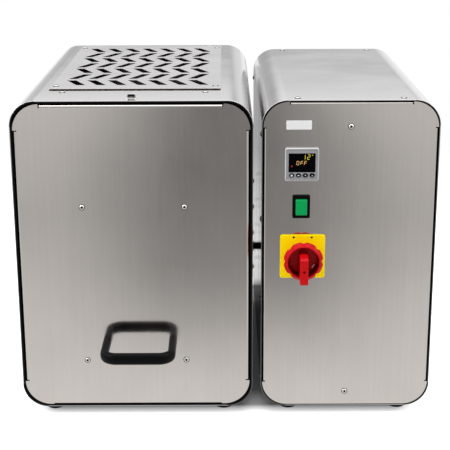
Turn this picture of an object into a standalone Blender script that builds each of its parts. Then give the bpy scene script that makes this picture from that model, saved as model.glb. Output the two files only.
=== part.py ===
"""A dental laboratory furnace: a lift-door chamber furnace and its control unit, side by side.

Metres, +Z up, front towards -Y, origin on the table under the middle of the whole object.
Places inside a cabinet are counted from the middle of its front edge, at the underside of its shell.
"""

import math

import bmesh
import bpy
from mathutils import Matrix, Vector

# Fits, and how far a cutter runs past what it cuts
CLEAR = 0.0003
OVERRUN = 0.005
SINK = 0.0006
WELD = 0.000002

# Cabinets
FURNACE_WIDTH = 0.344
FURNACE_DEPTH = 0.550
CONTROL_WIDTH = 0.252
CONTROL_DEPTH = 0.496
CABINET_HEIGHT = 0.466
CABINET_GAP = 0.012
CORNER_RADIUS = 0.037
SHEET = 0.0015

# Rubber feet
FOOT_HEIGHT = 0.013
FOOT_RADIUS = 0.013
FOOT_TOE = 0.0025
FOOT_CORNER_GAP = 0.006
FOOT_END_INSET = 0.031

# Button-head screws that hold the shells
SCREW_RADIUS = 0.0038
SCREW_TOP_RADIUS = 0.0024
SCREW_HEIGHT = 0.0019
SHELL_SCREW_REAR_INSET = 0.015
CONTROL_SCREW_INSET = 0.016
FURNACE_TOP_SCREW_INSET = 0.068
CONTROL_TOP_SCREW_INSET = 0.051
FRONT_SCREW_SHARES = (0.09, 0.355, 0.62, 0.89)
REAR_SCREW_SHARES = (0.13, 0.273, 0.38, 0.485, 0.896)

DOOR_SCREW_EAR_GAP = 0.039
DOOR_SCREW_LOW_INSET = 0.021
DOOR_SCREW_TOP_INSET = 0.018
PANEL_SCREW_LOW = 0.0235
PANEL_SCREW_DROP = 0.038

# Door opening: black edge seal, bulkhead behind the door, and the rear panels
DOOR_GAP = 0.004
SEAL_THICKNESS = 0.002
SEAL_SETBACK = 0.0006
SEAL_DEPTH = 0.012
RECESS_DEPTH = 0.075
BULKHEAD_FLANGE = 0.015
BLOCK_OPENING_GAP = 0.002
REAR_SETBACK = 0.001
REAR_FLANGE = 0.018
LOUVRE_WIDTH = 0.078
LOUVRE_HEIGHT = 0.0045
LOUVRE_PITCH = 0.013
LOUVRE_ROWS = 6
LOUVRE_COLUMN_GAP = 0.018
FURNACE_LOUVRE_SHARES = (0.30, 0.84)
CONTROL_LOUVRE_SHARES = (0.36, 0.84)

# Vent plate on the furnace, with leaning slots in rows
VENT_BULKHEAD_GAP = 0.011
VENT_SIDE_MARGIN = 0.009
VENT_REAR_MARGIN = 0.022
VENT_EDGE = 0.014
VENT_SCREW_SIDE_INSET = 0.0075
VENT_SCREW_END_INSET = 0.024
VENT_CORNER = 0.002
SLOT_ROWS = 7
SLOT_COLUMNS = 7
SLOT_WIDTH = 0.014
SLOT_LENGTH = 0.044
SLOT_LEAN = math.radians(24)
SLOT_SIDE_INSET = 0.034
SLOT_END_INSET = 0.053

# Door stop catch on the furnace top: a base plate, an arch on it and a bar across the arch
CATCH_WIDTH = 0.014
CATCH_LENGTH = 0.016
CATCH_PLATE = 0.0012
CATCH_FRONT = 0.012
CATCH_HEIGHT = 0.0065
CATCH_ARCH_INSET = 0.0006
CATCH_ARCH_DEPTH = 0.006
CATCH_WALL = 0.0016
CATCH_BAR_RADIUS = 0.0012

# Folded front panels
DOOR_BEND = 0.004
DOOR_FLANGE = 0.018
DOOR_PROUD = 0.001
CONTROL_PANEL_GAP = 0.002
CONTROL_BEND = 0.0026
CONTROL_FLANGE = 0.015
CONTROL_PANEL_SETBACK = 0.0002
CORNER_LIP = 0.001
RELIEF_WIDTH = 0.0016
RELIEF_DEPTH = 0.0008

# Furnace chassis, inner casing and refractory lining
CHASSIS_HEIGHT = 0.024
CHASSIS_MARGIN = 0.005
CHASSIS_SHEET = 0.002
CASING_SIDE_GAP = 0.022
CASING_TOP_GAP = 0.099
CASING_REAR_GAP = 0.079
CASING_SHEET = 0.0012
FLOOR_THICKNESS = 0.082
ROOF_THICKNESS = 0.0909
CHAMBER_WIDTH = 0.124
CHAMBER_DEPTH = 0.200
MOUTH_DEPTH = 0.035
HEARTH_WIDTH = 0.090
HEARTH_THICKNESS = 0.008
HEARTH_END_GAP = 0.008

# Heating elements, their terminals and the straps that link them
ELEMENT_RADIUS = 0.003
TERMINAL_RADIUS = 0.006
ELEMENT_SPAN = 0.050
ELEMENT_INSET = 0.011
ELEMENT_FLOOR_GAP = 0.018
ELEMENT_PLACE_SHARES = (0.27, 0.73)
TERMINAL_DROP = 0.010
TERMINAL_TAPER = 0.008
TERMINAL_RISE = 0.042
TERMINAL_HOLE_GAP = 0.0006
TERMINAL_SLOT_GAP = 0.006
STRAP_WIDTH = 0.018
STRAP_THICKNESS = 0.003
STRAP_BELOW_TOP = 0.010
CROSS_STRAP_BELOW_TOP = 0.020

# Thermocouple through the back of the chamber
THERMOCOUPLE_RADIUS = 0.004
THERMOCOUPLE_REACH = 0.012
THERMOCOUPLE_HEIGHT_SHARE = 0.72
THERMOCOUPLE_HEAD_RADIUS = 0.016
THERMOCOUPLE_HEAD_LENGTH = 0.030

# Door: insulation block with its plug, carrier tray and swing arms
BLOCK_SIDE_GAP = 0.0125
BLOCK_END_MARGIN = 0.055
BLOCK_FACE_GAP = 0.001
PLUG_END_GAP = 0.001
PLUG_GAP = 0.003
PLUG_TAPER = 0.004
CARRIER_EAR_SHEET = 0.0025
CARRIER_RIM = 0.006
CARRIER_FLANGE = 0.018
EAR_REACH = 0.010
LOWER_EAR_Z = 0.045
ARM_WIDTH = 0.016
ARM_THICKNESS = 0.006
ARM_PITCH = 0.012
ARM_EAR_GAP = 0.0155
ARM_BRACKET_GAP = 0.010
PIVOT_TOP_DROP = 0.061
PIVOT_RISE = 0.140
PIVOT_STAGGER = 0.025
PIVOT_BULKHEAD_GAP = 0.015
PIN_RADIUS = 0.005
SHOULDER_RADIUS = 0.0075
PIN_HEAD_THICKNESS = 0.002
PIN_ENGAGEMENT = 0.022
CROSS_TUBE_RADIUS = 0.009
BRACKET_SIDE_GAP = 0.022
BRACKET_SHEET = 0.003
BRACKET_MARGIN = 0.014
BRACKET_FOOT = 0.012

# Bow handle on the door
HANDLE_SPAN = 0.0975
HANDLE_REACH = 0.063
HANDLE_THICKNESS = 0.0115
HANDLE_HEIGHT = 0.0175
HANDLE_BEND = 0.019
HANDLE_Z = 0.1035
HANDLE_SHIFT = 0.005

# Panel controller: a bezel with a window over four round keys, and a long body
CONTROLS_INSET = 0.057
CONTROLLER_TOP_DROP = 0.0915
CONTROLLER_SIZE = 0.048
CONTROLLER_FRONT = 0.007
CONTROLLER_LIP = 0.0045
CONTROLLER_CORNER = 0.0022
CONTROLLER_RIM = 0.0017
CONTROLLER_BODY_DEPTH = 0.092
DISPLAY_SIDE_INSET = 0.0051
DISPLAY_TOP_INSET = 0.0079
DISPLAY_KEY_GAP = 0.0015
DISPLAY_RECESS = 0.0008
DISPLAY_THICKNESS = 0.0025
KEY_RADIUS = 0.0031
KEY_PITCH = 0.0097
KEY_EDGE_INSET = 0.0085
KEY_PROUD = 0.0008
KEY_LENGTH = 0.0036

# Lit push switch under the controller
PUSH_DROP = 0.0629
PUSH_BEZEL_WIDTH = 0.0252
PUSH_BEZEL_HEIGHT = 0.0341
PUSH_BEZEL_THICKNESS = 0.0028
PUSH_BEZEL_CORNER = 0.0018
PUSH_RIM_SIDE = 0.0035
PUSH_RIM_END = 0.00475
PUSH_BODY_SIDE_WALL = 0.0017
PUSH_BODY_END_WALL = 0.0025
PUSH_BODY_DEPTH = 0.030
PUSH_CAP_PROUD = 0.0085
PUSH_CAP_LENGTH = 0.0115
PUSH_CAP_CORNER = 0.0012
PUSH_CAP_GAP = 0.0004
PUSH_TRAVEL = 0.003
PUSH_END_GAP = 0.0017
CUTOUT_GAP = 0.0005

# Rotary main switch: a plate, a scalloped cup, a grip across it and the switch behind the panel
MAIN_SWITCH_SHIFT = 0.0028
MAIN_SWITCH_DROP = 0.0748
SWITCH_PLATE_SIZE = 0.065
SWITCH_PLATE_THICKNESS = 0.003
SWITCH_PLATE_CORNER = 0.003
SWITCH_DOT_RADIUS = 0.0016
SWITCH_DOT_X = 0.013
SWITCH_DOT_INSET = 0.0033
SWITCH_BODY_SIZE = 0.058
SWITCH_BODY_DEPTH = 0.055
SHAFT_RADIUS = 0.006
SHAFT_COVER = 0.0025
KNOB_RADIUS = 0.0288
KNOB_LOBES = 8
KNOB_SCALLOP = 0.0024
KNOB_BACK = 0.0050
KNOB_FRONT = 0.0290
KNOB_CUP_WALL = 0.0063
KNOB_CUP_DEPTH = 0.0085
GRIP_WIDTH = 0.0126
GRIP_FRONT = 0.050
GRIP_TOP = 0.017
GRIP_SHOULDER = 0.011
GRIP_RIM_GAP = 0.0004
GRIP_CHAMFER = 0.003
GRIP_HOLE_RADIUS = 0.0019
GRIP_HOLE_DEPTH = 0.004
GRIP_HOLE_DROP = 0.0085

# Inside the control unit, from front to rear: contactor, power stage and transformer
CONTROL_CHASSIS_FRONT = 0.060
CONTROL_CHASSIS_REAR_GAP = 0.036
CONTROL_CHASSIS_HEIGHT = 0.020
CONTACTOR_FRONT_GAP = 0.013
CONTACTOR_WIDTH = 0.054
CONTACTOR_DEPTH = 0.086
CONTACTOR_HEIGHT = 0.080
CONTACTOR_STEP = 0.020
MODULE_CONTACTOR_GAP = 0.015
MODULE_WIDTH = 0.040
MODULE_HEIGHT = 0.092
MODULE_DEPTH = 0.030
SINK_SIDE_GAP = 0.029
SINK_HEIGHT = 0.130
SINK_BASE = 0.009
SINK_FINS = 9
SINK_FIN_DEPTH = 0.028
SINK_FIN_THICKNESS = 0.003
WINDING_SINK_GAP = 0.0456
CORE_SIDE_GAP = 0.009
CORE_HEIGHT = 0.125
CORE_STACK = 0.060
CORE_YOKE = 0.025
WINDING_GAP = 0.0006
WINDING_CORNER = 0.008

# Cable duct between the cabinets, and the mains inlet
DUCT_REAR_INSET = 0.012
DUCT_PLACE_SHARE = 0.2146
DUCT_RADIUS = 0.0065
DUCT_BORE = 0.0045
DUCT_COLLAR_RADIUS = 0.0095
DUCT_COLLAR = 0.0018
DUCT_INSIDE = 0.010
INLET_SIDE_INSET = 0.071
INLET_Z = 0.075
INLET_WIDTH = 0.044
INLET_HEIGHT = 0.029
INLET_FLANGE_SIDE = 0.008
INLET_FLANGE_RIM = 0.0025
INLET_FLANGE_THICKNESS = 0.003
INLET_DEPTH = 0.028
INLET_WALL = 0.0035
INLET_CAVITY = 0.018
INLET_BLADE_WIDTH = 0.002
INLET_BLADE_HEIGHT = 0.007
INLET_BLADE_LENGTH = 0.015
INLET_BLADE_PITCH = 0.011
INLET_CORNER = 0.004

# Steps on round shapes
CORNER_STEPS = 8
BEND_STEPS = 3
ROUND_STEPS = 20
SMALL_STEPS = 12
HEAD_STEPS = 8
SLOT_END_STEPS = 4
KNOB_STEPS = 96
SMOOTH_ANGLE = math.radians(32)

# What follows from the sizes above
HANDLE_FRONT = DOOR_PROUD + HANDLE_REACH + HANDLE_THICKNESS / 2
TOTAL_WIDTH = FURNACE_WIDTH + CABINET_GAP + CONTROL_WIDTH
FRONT_Y = (HANDLE_FRONT - max(FURNACE_DEPTH, CONTROL_DEPTH)) / 2
FURNACE_X = (FURNACE_WIDTH - TOTAL_WIDTH) / 2
CONTROL_X = (TOTAL_WIDTH - CONTROL_WIDTH) / 2
BULKHEAD_BACK = RECESS_DEPTH + SHEET
LINING_FRONT = BULKHEAD_BACK + CLEAR
FOOT_SIDE_INSET = CORNER_RADIUS + FOOT_CORNER_GAP
VENT_WIDTH = FURNACE_WIDTH - 2 * (CORNER_RADIUS + VENT_SIDE_MARGIN)
VENT_FRONT = RECESS_DEPTH + VENT_BULKHEAD_GAP
VENT_REAR = FURNACE_DEPTH - VENT_REAR_MARGIN
CHASSIS_WIDTH = FURNACE_WIDTH - 2 * (CORNER_RADIUS + CHASSIS_MARGIN)
CHASSIS_LOW = SHEET + CLEAR
CASING_WIDTH = FURNACE_WIDTH - 2 * CASING_SIDE_GAP
CASING_LOW = CHASSIS_LOW + CHASSIS_HEIGHT + CLEAR
CASING_HIGH = CABINET_HEIGHT - CASING_TOP_GAP
CASING_BACK = FURNACE_DEPTH - CASING_REAR_GAP
LINING_LOW = CASING_LOW + CASING_SHEET + CLEAR
LINING_HIGH = CASING_HIGH - CASING_SHEET - CLEAR
LINING_SIDE = CASING_WIDTH / 2 - CASING_SHEET - CLEAR
LINING_BACK = CASING_BACK - CASING_SHEET - CLEAR
CHAMBER_LOW = LINING_LOW + FLOOR_THICKNESS
CHAMBER_HIGH = LINING_HIGH - ROOF_THICKNESS
CHAMBER_MIDDLE = (CHAMBER_LOW + CHAMBER_HIGH) / 2
CHAMBER_START = LINING_FRONT + MOUTH_DEPTH
CHAMBER_BACK = CHAMBER_START + CHAMBER_DEPTH
TERMINAL_TOP = CASING_HIGH + TERMINAL_RISE
BRACKET_X = FURNACE_WIDTH / 2 - BRACKET_SIDE_GAP
LOWER_ARM_X = BRACKET_X - ARM_BRACKET_GAP
UPPER_ARM_X = LOWER_ARM_X - ARM_PITCH
CARRIER_EAR_X = UPPER_ARM_X - ARM_EAR_GAP
BLOCK_WIDTH = 2 * (CARRIER_EAR_X - BLOCK_SIDE_GAP)
BLOCK_LOW = CHAMBER_LOW - BLOCK_END_MARGIN
BLOCK_HIGH = CHAMBER_HIGH + BLOCK_END_MARGIN
BLOCK_BACK = LINING_FRONT - BLOCK_FACE_GAP
PLUG_BACK = CHAMBER_START - PLUG_END_GAP
UPPER_PIVOT_Z = CABINET_HEIGHT - PIVOT_TOP_DROP
LOWER_PIVOT_Z = UPPER_PIVOT_Z - PIVOT_RISE
LOWER_PIVOT_Y = RECESS_DEPTH - PIVOT_BULKHEAD_GAP
UPPER_PIVOT_Y = LOWER_PIVOT_Y - PIVOT_STAGGER
ARM_LENGTH = LOWER_PIVOT_Z - LOWER_EAR_Z
UPPER_EAR_Z = UPPER_PIVOT_Z - ARM_LENGTH
CARRIER_FRONT = SHEET - DOOR_PROUD + CLEAR
CARRIER_BACK = CARRIER_FRONT + SHEET
CARRIER_LOW = min(LOWER_EAR_Z - BRACKET_MARGIN, BLOCK_LOW - CARRIER_RIM)
CARRIER_HIGH = BLOCK_HIGH + CARRIER_RIM
CONTROLS_X = CONTROLS_INSET - CONTROL_WIDTH / 2
CONTROLLER_Z = CABINET_HEIGHT - CONTROLLER_TOP_DROP
CONTROLLER_BODY = CONTROLLER_SIZE - 2 * CONTROLLER_RIM
DISPLAY_LOW_INSET = KEY_EDGE_INSET + KEY_RADIUS + DISPLAY_KEY_GAP
DISPLAY_WIDTH = CONTROLLER_SIZE - 2 * DISPLAY_SIDE_INSET
DISPLAY_HEIGHT = CONTROLLER_SIZE - DISPLAY_TOP_INSET - DISPLAY_LOW_INSET
DISPLAY_Z = CONTROLLER_Z + (DISPLAY_LOW_INSET - DISPLAY_TOP_INSET) / 2
KEY_Z = CONTROLLER_Z - CONTROLLER_SIZE / 2 + KEY_EDGE_INSET
PUSH_Z = CONTROLLER_Z - PUSH_DROP
PUSH_CAP_WIDTH = PUSH_BEZEL_WIDTH - 2 * PUSH_RIM_SIDE
PUSH_CAP_HEIGHT = PUSH_BEZEL_HEIGHT - 2 * PUSH_RIM_END
PUSH_BODY_WIDTH = PUSH_CAP_WIDTH + 2 * PUSH_BODY_SIDE_WALL
PUSH_BODY_HEIGHT = PUSH_CAP_HEIGHT + 2 * PUSH_BODY_END_WALL
PUSH_POCKET_DEPTH = PUSH_CAP_LENGTH - PUSH_CAP_PROUD + CLEAR + PUSH_TRAVEL + PUSH_END_GAP
MAIN_SWITCH_X = CONTROLS_X + MAIN_SWITCH_SHIFT
MAIN_SWITCH_Z = PUSH_Z - MAIN_SWITCH_DROP
KNOB_CUP_RADIUS = KNOB_RADIUS - KNOB_CUP_WALL
KNOB_CUP_FLOOR = KNOB_FRONT - KNOB_CUP_DEPTH
SHAFT_REACH = KNOB_CUP_FLOOR - SHAFT_COVER
CONTROL_CHASSIS_WIDTH = CONTROL_WIDTH - 2 * (CORNER_RADIUS + CHASSIS_MARGIN)
CONTROL_CHASSIS_REAR = CONTROL_DEPTH - CONTROL_CHASSIS_REAR_GAP
CORE_WIDTH = CONTROL_CHASSIS_WIDTH - 2 * CORE_SIDE_GAP
CORE_LEG = CORE_WIDTH / 3
CORE_WINDOW_WIDTH = CORE_WIDTH / 6
WINDING_THICKNESS = CORE_WINDOW_WIDTH - 2 * WINDING_GAP
SINK_WIDTH = CONTROL_CHASSIS_WIDTH - 2 * SINK_SIDE_GAP
CONTACTOR_Y = CONTROL_CHASSIS_FRONT + CONTACTOR_FRONT_GAP + CONTACTOR_DEPTH / 2
SINK_Y = CONTACTOR_Y + CONTACTOR_DEPTH / 2 + MODULE_CONTACTOR_GAP + MODULE_DEPTH
WINDING_FRONT = SINK_Y + SINK_FIN_DEPTH + WINDING_SINK_GAP
CORE_Y = WINDING_FRONT + WINDING_THICKNESS + WINDING_GAP + CORE_STACK / 2
INLET_X = CONTROL_WIDTH / 2 - INLET_SIDE_INSET
INLET_FLANGE_WIDTH = INLET_WIDTH + 2 * INLET_FLANGE_SIDE
INLET_FLANGE_HEIGHT = INLET_HEIGHT + 2 * INLET_FLANGE_RIM
DUCT_Y = min(FURNACE_DEPTH, CONTROL_DEPTH) - DUCT_REAR_INSET
DUCT_Z = DUCT_PLACE_SHARE * CABINET_HEIGHT

# Turns that lay a flat outline in another plane: its normal goes to -Y, or to +X
FACING_FRONT = Matrix.Rotation(math.radians(90), 4, "X")
FACING_SIDE = Matrix(((0, 0, 1, 0), (1, 0, 0, 0), (0, 1, 0, 0), (0, 0, 0, 1)))
FACING_TOP = Matrix.Identity(4)


def clear_scene():
    for obj in list(bpy.data.objects):
        bpy.data.objects.remove(obj, do_unlink=True)


def new_collection(name, shown):
    collection = bpy.data.collections.new(name)
    bpy.context.scene.collection.children.link(collection)
    collection.hide_render = not shown
    return collection


def material(name, colour, roughness, metallic=0.0, glow=0.0):
    made = bpy.data.materials.new(name)
    made.use_nodes = True
    shader = made.node_tree.nodes["Principled BSDF"]
    shader.inputs["Base Color"].default_value = (*colour, 1.0)
    shader.inputs["Roughness"].default_value = roughness
    shader.inputs["Metallic"].default_value = metallic
    if glow:
        shader.inputs["Emission Color"].default_value = (*colour, 1.0)
        shader.inputs["Emission Strength"].default_value = glow
    made.diffuse_color = (*colour, 1.0)
    return made


def cabinet_frame(name, x):
    """The empty that carries a cabinet's pieces, at the foot of its front edge."""
    empty = bpy.data.objects.new(name, None)
    empty.location = (x, FRONT_Y, FOOT_HEIGHT)
    PARTS.objects.link(empty)
    return empty


def add_object(name, data, parent, paint, origin=(0, 0, 0)):
    """Links an object: a sub-part where it has a material, and a cutter or addition where it has none."""
    obj = bpy.data.objects.new(name, data)
    obj.parent = parent
    obj.location = origin
    if paint is None:
        CUTTERS.objects.link(obj)
        obj.hide_render = True
        obj.display_type = "WIRE"
    else:
        PARTS.objects.link(obj)
        data.materials.append(paint)
    return obj


def finish(bm, name, parent, paint, origin=(0, 0, 0), outward=True):
    """Turns a bmesh in its cabinet's places into an object whose origin is at the place given."""
    if outward:
        bmesh.ops.recalc_face_normals(bm, faces=bm.faces)
    bmesh.ops.translate(bm, verts=bm.verts, vec=-Vector(origin))
    mesh = bpy.data.meshes.new(name)
    bm.to_mesh(mesh)
    bm.free()
    mesh.shade_smooth()
    mesh.set_sharp_from_angle(angle=SMOOTH_ANGLE)
    return add_object(name, mesh, parent, paint, origin)


def combine(target, tool, operation):
    modifier = target.modifiers.new(tool.name, "BOOLEAN")
    modifier.operation = operation
    modifier.object = tool
    return target


def cut(target, tool):
    return combine(target, tool, "DIFFERENCE")


def fuse(target, tool):
    return combine(target, tool, "UNION")


def thicken(obj, thickness):
    """Gives an open surface its thickness on the side away from its normals."""
    modifier = obj.modifiers.new("thickness", "SOLIDIFY")
    modifier.thickness = thickness
    modifier.offset = -1
    modifier.use_even_offset = True
    return obj


def soften(obj, width, segments=2):
    modifier = obj.modifiers.new("edges", "BEVEL")
    modifier.width = width
    modifier.segments = segments
    modifier.limit_method = "ANGLE"
    return obj


def box_shape(low, high):
    bm = bmesh.new()
    bmesh.ops.create_cube(bm, size=1)
    size = Vector(high) - Vector(low)
    bmesh.ops.scale(bm, verts=bm.verts, vec=size)
    bmesh.ops.translate(bm, verts=bm.verts, vec=(Vector(low) + Vector(high)) / 2)
    return bm


def box(name, parent, paint, low, high, origin=(0, 0, 0)):
    return finish(box_shape(low, high), name, parent, paint, origin)


def rod_shape(start, end, radius, end_radius=None, steps=ROUND_STEPS):
    """A round bar or a cone between two points."""
    start, end = Vector(start), Vector(end)
    bm = bmesh.new()
    bmesh.ops.create_cone(
        bm,
        cap_ends=True,
        segments=steps,
        radius1=radius,
        radius2=radius if end_radius is None else end_radius,
        depth=(end - start).length,
    )
    turn = Vector((0, 0, 1)).rotation_difference(end - start).to_matrix().to_4x4()
    bmesh.ops.transform(bm, verts=bm.verts, matrix=Matrix.Translation((start + end) / 2) @ turn)
    return bm


def rod(name, parent, paint, start, end, radius, steps=ROUND_STEPS, origin=(0, 0, 0)):
    return finish(rod_shape(start, end, radius, steps=steps), name, parent, paint, origin)


def pin(name, parent, start, end, radius):
    """A round pin to fuse to another piece."""
    return rod(name, parent, None, start, end, radius, steps=SMALL_STEPS)


def gather(shapes):
    """Several bmeshes as one."""
    whole = bmesh.new()
    for shape in shapes:
        mesh = bpy.data.meshes.new("shape")
        shape.to_mesh(mesh)
        shape.free()
        whole.from_mesh(mesh)
        bpy.data.meshes.remove(mesh)
    return whole


def arc(x, y, radius, start, end, steps):
    angles = (start + (end - start) * i / steps for i in range(steps + 1))
    return [(x + radius * math.cos(a), y + radius * math.sin(a)) for a in angles]


def circle(x, y, radius, steps=ROUND_STEPS):
    return arc(x, y, radius, 0, math.tau, steps)[:-1]


def rounded_rectangle(left, right, low, high, radius, steps=CORNER_STEPS):
    quarter = math.pi / 2
    centres = (
        (right - radius, high - radius),
        (left + radius, high - radius),
        (left + radius, low + radius),
        (right - radius, low + radius),
    )
    points = []
    for i, (x, y) in enumerate(centres):
        points += arc(x, y, radius, i * quarter, (i + 1) * quarter, steps)
    return points


def rectangle(left, right, low, high):
    return [(right, high), (left, high), (left, low), (right, low)]


def leaning_slot(x, y, length, width, lean):
    """A slot with level ends and two sides that lean by the angle."""
    shift, half = math.tan(lean) * length / 2, width / 2
    ends = ((1, 1), (1, -1), (-1, -1), (-1, 1))
    return [(x + end * shift + side * half, y + end * length / 2) for end, side in ends]


def obround(x, y, length, width, angle, steps=SLOT_END_STEPS):
    """A slot's outline: its length runs along Y before it is turned by the angle."""
    straight = (length - width) / 2
    points = arc(0, straight, width / 2, 0, math.pi, steps)
    points += arc(0, -straight, width / 2, math.pi, math.tau, steps)
    c, s = math.cos(angle), math.sin(angle)
    return [(x + c * u - s * v, y + s * u + c * v) for u, v in points]


def slab_shape(loops, low, high, facing):
    """A flat outline with its holes, thick from low to high along the outline's normal axis."""
    curve = bpy.data.curves.new("outline", "CURVE")
    curve.dimensions = "2D"
    curve.fill_mode = "BOTH"
    curve.extrude = (high - low) / 2
    for loop in loops:
        spline = curve.splines.new("POLY")
        spline.points.add(len(loop) - 1)
        for point, (x, y) in zip(spline.points, loop):
            point.co = (x, y, 0, 1)
        spline.use_cyclic_u = True
    obj = bpy.data.objects.new("outline", curve)
    bpy.context.scene.collection.objects.link(obj)
    bpy.context.view_layer.update()
    graph = bpy.context.evaluated_depsgraph_get()
    mesh = bpy.data.meshes.new_from_object(obj.evaluated_get(graph))
    bm = bmesh.new()
    bm.from_mesh(mesh)
    bmesh.ops.remove_doubles(bm, verts=bm.verts, dist=WELD)
    bpy.data.objects.remove(obj, do_unlink=True)
    bpy.data.curves.remove(curve)
    bpy.data.meshes.remove(mesh)
    normal = facing.to_3x3() @ Vector((0, 0, 1))
    middle = Vector([abs(n) * (low + high) / 2 for n in normal])
    bmesh.ops.transform(bm, verts=bm.verts, matrix=Matrix.Translation(middle) @ facing)
    return bm


def slab(name, parent, paint, loops, low, high, facing, origin=(0, 0, 0)):
    return finish(slab_shape(loops, low, high, facing), name, parent, paint, origin)


def sleeve_surface(loop, start, end):
    """An open tube along Y around an outline in X and Z, with its normals pointing out."""
    bm = bmesh.new()
    verts = [bm.verts.new((x, start, z)) for x, z in loop]
    edges = [bm.edges.new((a, b)) for a, b in zip(verts, verts[1:] + verts[:1])]
    grown = bmesh.ops.extrude_edge_only(bm, edges=edges)["geom"]
    moved = [v for v in grown if isinstance(v, bmesh.types.BMVert)]
    bmesh.ops.translate(bm, verts=moved, vec=(0, end - start, 0))
    middle = sum((v.co for v in bm.verts), Vector()) / len(bm.verts)
    bm.faces.ensure_lookup_table()
    bm.normal_update()
    face = bm.faces[0]
    out = face.calc_center_median() - middle
    out.y = 0
    if face.normal.dot(out) < 0:
        bmesh.ops.reverse_faces(bm, faces=bm.faces)
    return bm


def sleeve(name, parent, paint, loop, start, end, thickness):
    bm = sleeve_surface(loop, start, end)
    return thicken(finish(bm, name, parent, paint, outward=False), thickness)


def cabinet_loop(width, inset, radius_change=0.0):
    """A cabinet's rounded outline, drawn in by the inset on every side."""
    half = width / 2 - inset
    radius = CORNER_RADIUS - inset + radius_change
    return rounded_rectangle(-half, half, inset, CABINET_HEIGHT - inset, radius)


def tray_panel(name, parent, paint, width, face, flange, toward):
    """A plate that fills a cabinet's outline, with a flange all round its edge towards +Y or -Y."""
    loop = cabinet_loop(width, SHEET + CLEAR)
    bm = bmesh.new()
    verts = [bm.verts.new((x, face, z)) for x, z in loop]
    plate = bm.faces.new(verts)
    bm.normal_update()
    if plate.normal.y * toward > 0:
        bmesh.ops.reverse_faces(bm, faces=[plate])
    grown = bmesh.ops.extrude_edge_only(bm, edges=list(bm.edges))["geom"]
    moved = [v for v in grown if isinstance(v, bmesh.types.BMVert)]
    bmesh.ops.translate(bm, verts=moved, vec=(0, flange * toward, 0))
    bmesh.ops.recalc_face_normals(bm, faces=bm.faces)
    bm.normal_update()
    if plate.normal.y * toward > 0:
        bmesh.ops.reverse_faces(bm, faces=bm.faces)
    return thicken(finish(bm, name, parent, paint, outward=False), SHEET)


def panel_outline(half, low, high, radius, bend):
    """A folded panel's flat face: rounded corners, and bend lines between small relief notches.

    Returns the points, and the numbers of the points that start each bend line."""
    flat = radius + CORNER_LIP
    quarter = math.pi / 2
    corners = ((half, high), (-half, high), (-half, low), (half, low))
    points, starts = [], []
    for i, (x, z) in enumerate(corners):
        sx, sz = math.copysign(1, x), math.copysign(1, z - (low + high) / 2)
        cx, cz = x - sx * radius, z - sz * radius
        along_in = Vector((0, sz)) if i % 2 == 0 else Vector((sx, 0))
        along_out = Vector((sx, 0)) if i % 2 == 0 else Vector((0, sz))
        inward_in = Vector((-sx, 0)) if i % 2 == 0 else Vector((0, -sz))
        inward_out = Vector((0, -sz)) if i % 2 == 0 else Vector((-sx, 0))
        arc_points = arc(cx, cz, flat, i * quarter, (i + 1) * quarter, CORNER_STEPS)
        first, last = Vector(arc_points[0]), Vector(arc_points[-1])
        deep = CORNER_LIP + bend + RELIEF_DEPTH
        line = CORNER_LIP + bend
        points += [
            tuple(first + inward_in * line - along_in * RELIEF_WIDTH),
            tuple(first + inward_in * deep - along_in * RELIEF_WIDTH),
            tuple(first + inward_in * deep),
        ]
        points += arc_points
        points += [
            tuple(last + inward_out * deep),
            tuple(last + inward_out * deep - along_out * RELIEF_WIDTH),
            tuple(last + inward_out * line - along_out * RELIEF_WIDTH),
        ]
        starts.append(len(points) - 1)
    return points, starts


def folded_panel(name, parent, paint, width, gap, face, bend, flange, origin=(0, 0, 0)):
    """A sheet-metal front whose four straight sides are folded back round a bend."""
    inset = SHEET + gap
    half = width / 2 - inset
    low, high = inset, CABINET_HEIGHT - inset
    points, starts = panel_outline(half, low, high, CORNER_RADIUS - inset, bend)
    bm = bmesh.new()
    verts = [bm.verts.new((x, face, z)) for x, z in points]
    plate = bm.faces.new(verts)
    bm.normal_update()
    if plate.normal.y > 0:
        plate.normal_flip()
    middle = Vector((0, face, (low + high) / 2))
    for start in starts:
        ends = (verts[start], verts[(start + 1) % len(verts)])
        edge = bm.edges.get(ends)
        along = ends[1].co - ends[0].co
        mid = (ends[0].co + ends[1].co) / 2
        centre = mid + Vector((0, bend, 0))
        turned = math.radians(90)
        inward = (middle - mid).normalized()
        if along.normalized().cross(centre - mid).dot(inward) > 0:
            turned = -turned
        spun = bmesh.ops.spin(
            bm,
            geom=[edge, *ends],
            cent=centre,
            axis=along.normalized(),
            dvec=(0, 0, 0),
            angle=-turned,
            steps=BEND_STEPS,
        )
        last = [e for e in spun["geom_last"] if isinstance(e, bmesh.types.BMEdge)]
        grown = bmesh.ops.extrude_edge_only(bm, edges=last)["geom"]
        moved = [v for v in grown if isinstance(v, bmesh.types.BMVert)]
        bmesh.ops.translate(bm, verts=moved, vec=(0, flange - bend, 0))
    bmesh.ops.recalc_face_normals(bm, faces=bm.faces)
    bm.normal_update()
    if plate.normal.y > 0:
        bmesh.ops.reverse_faces(bm, faces=bm.faces)
    return thicken(finish(bm, name, parent, paint, origin, outward=False), SHEET)


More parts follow.
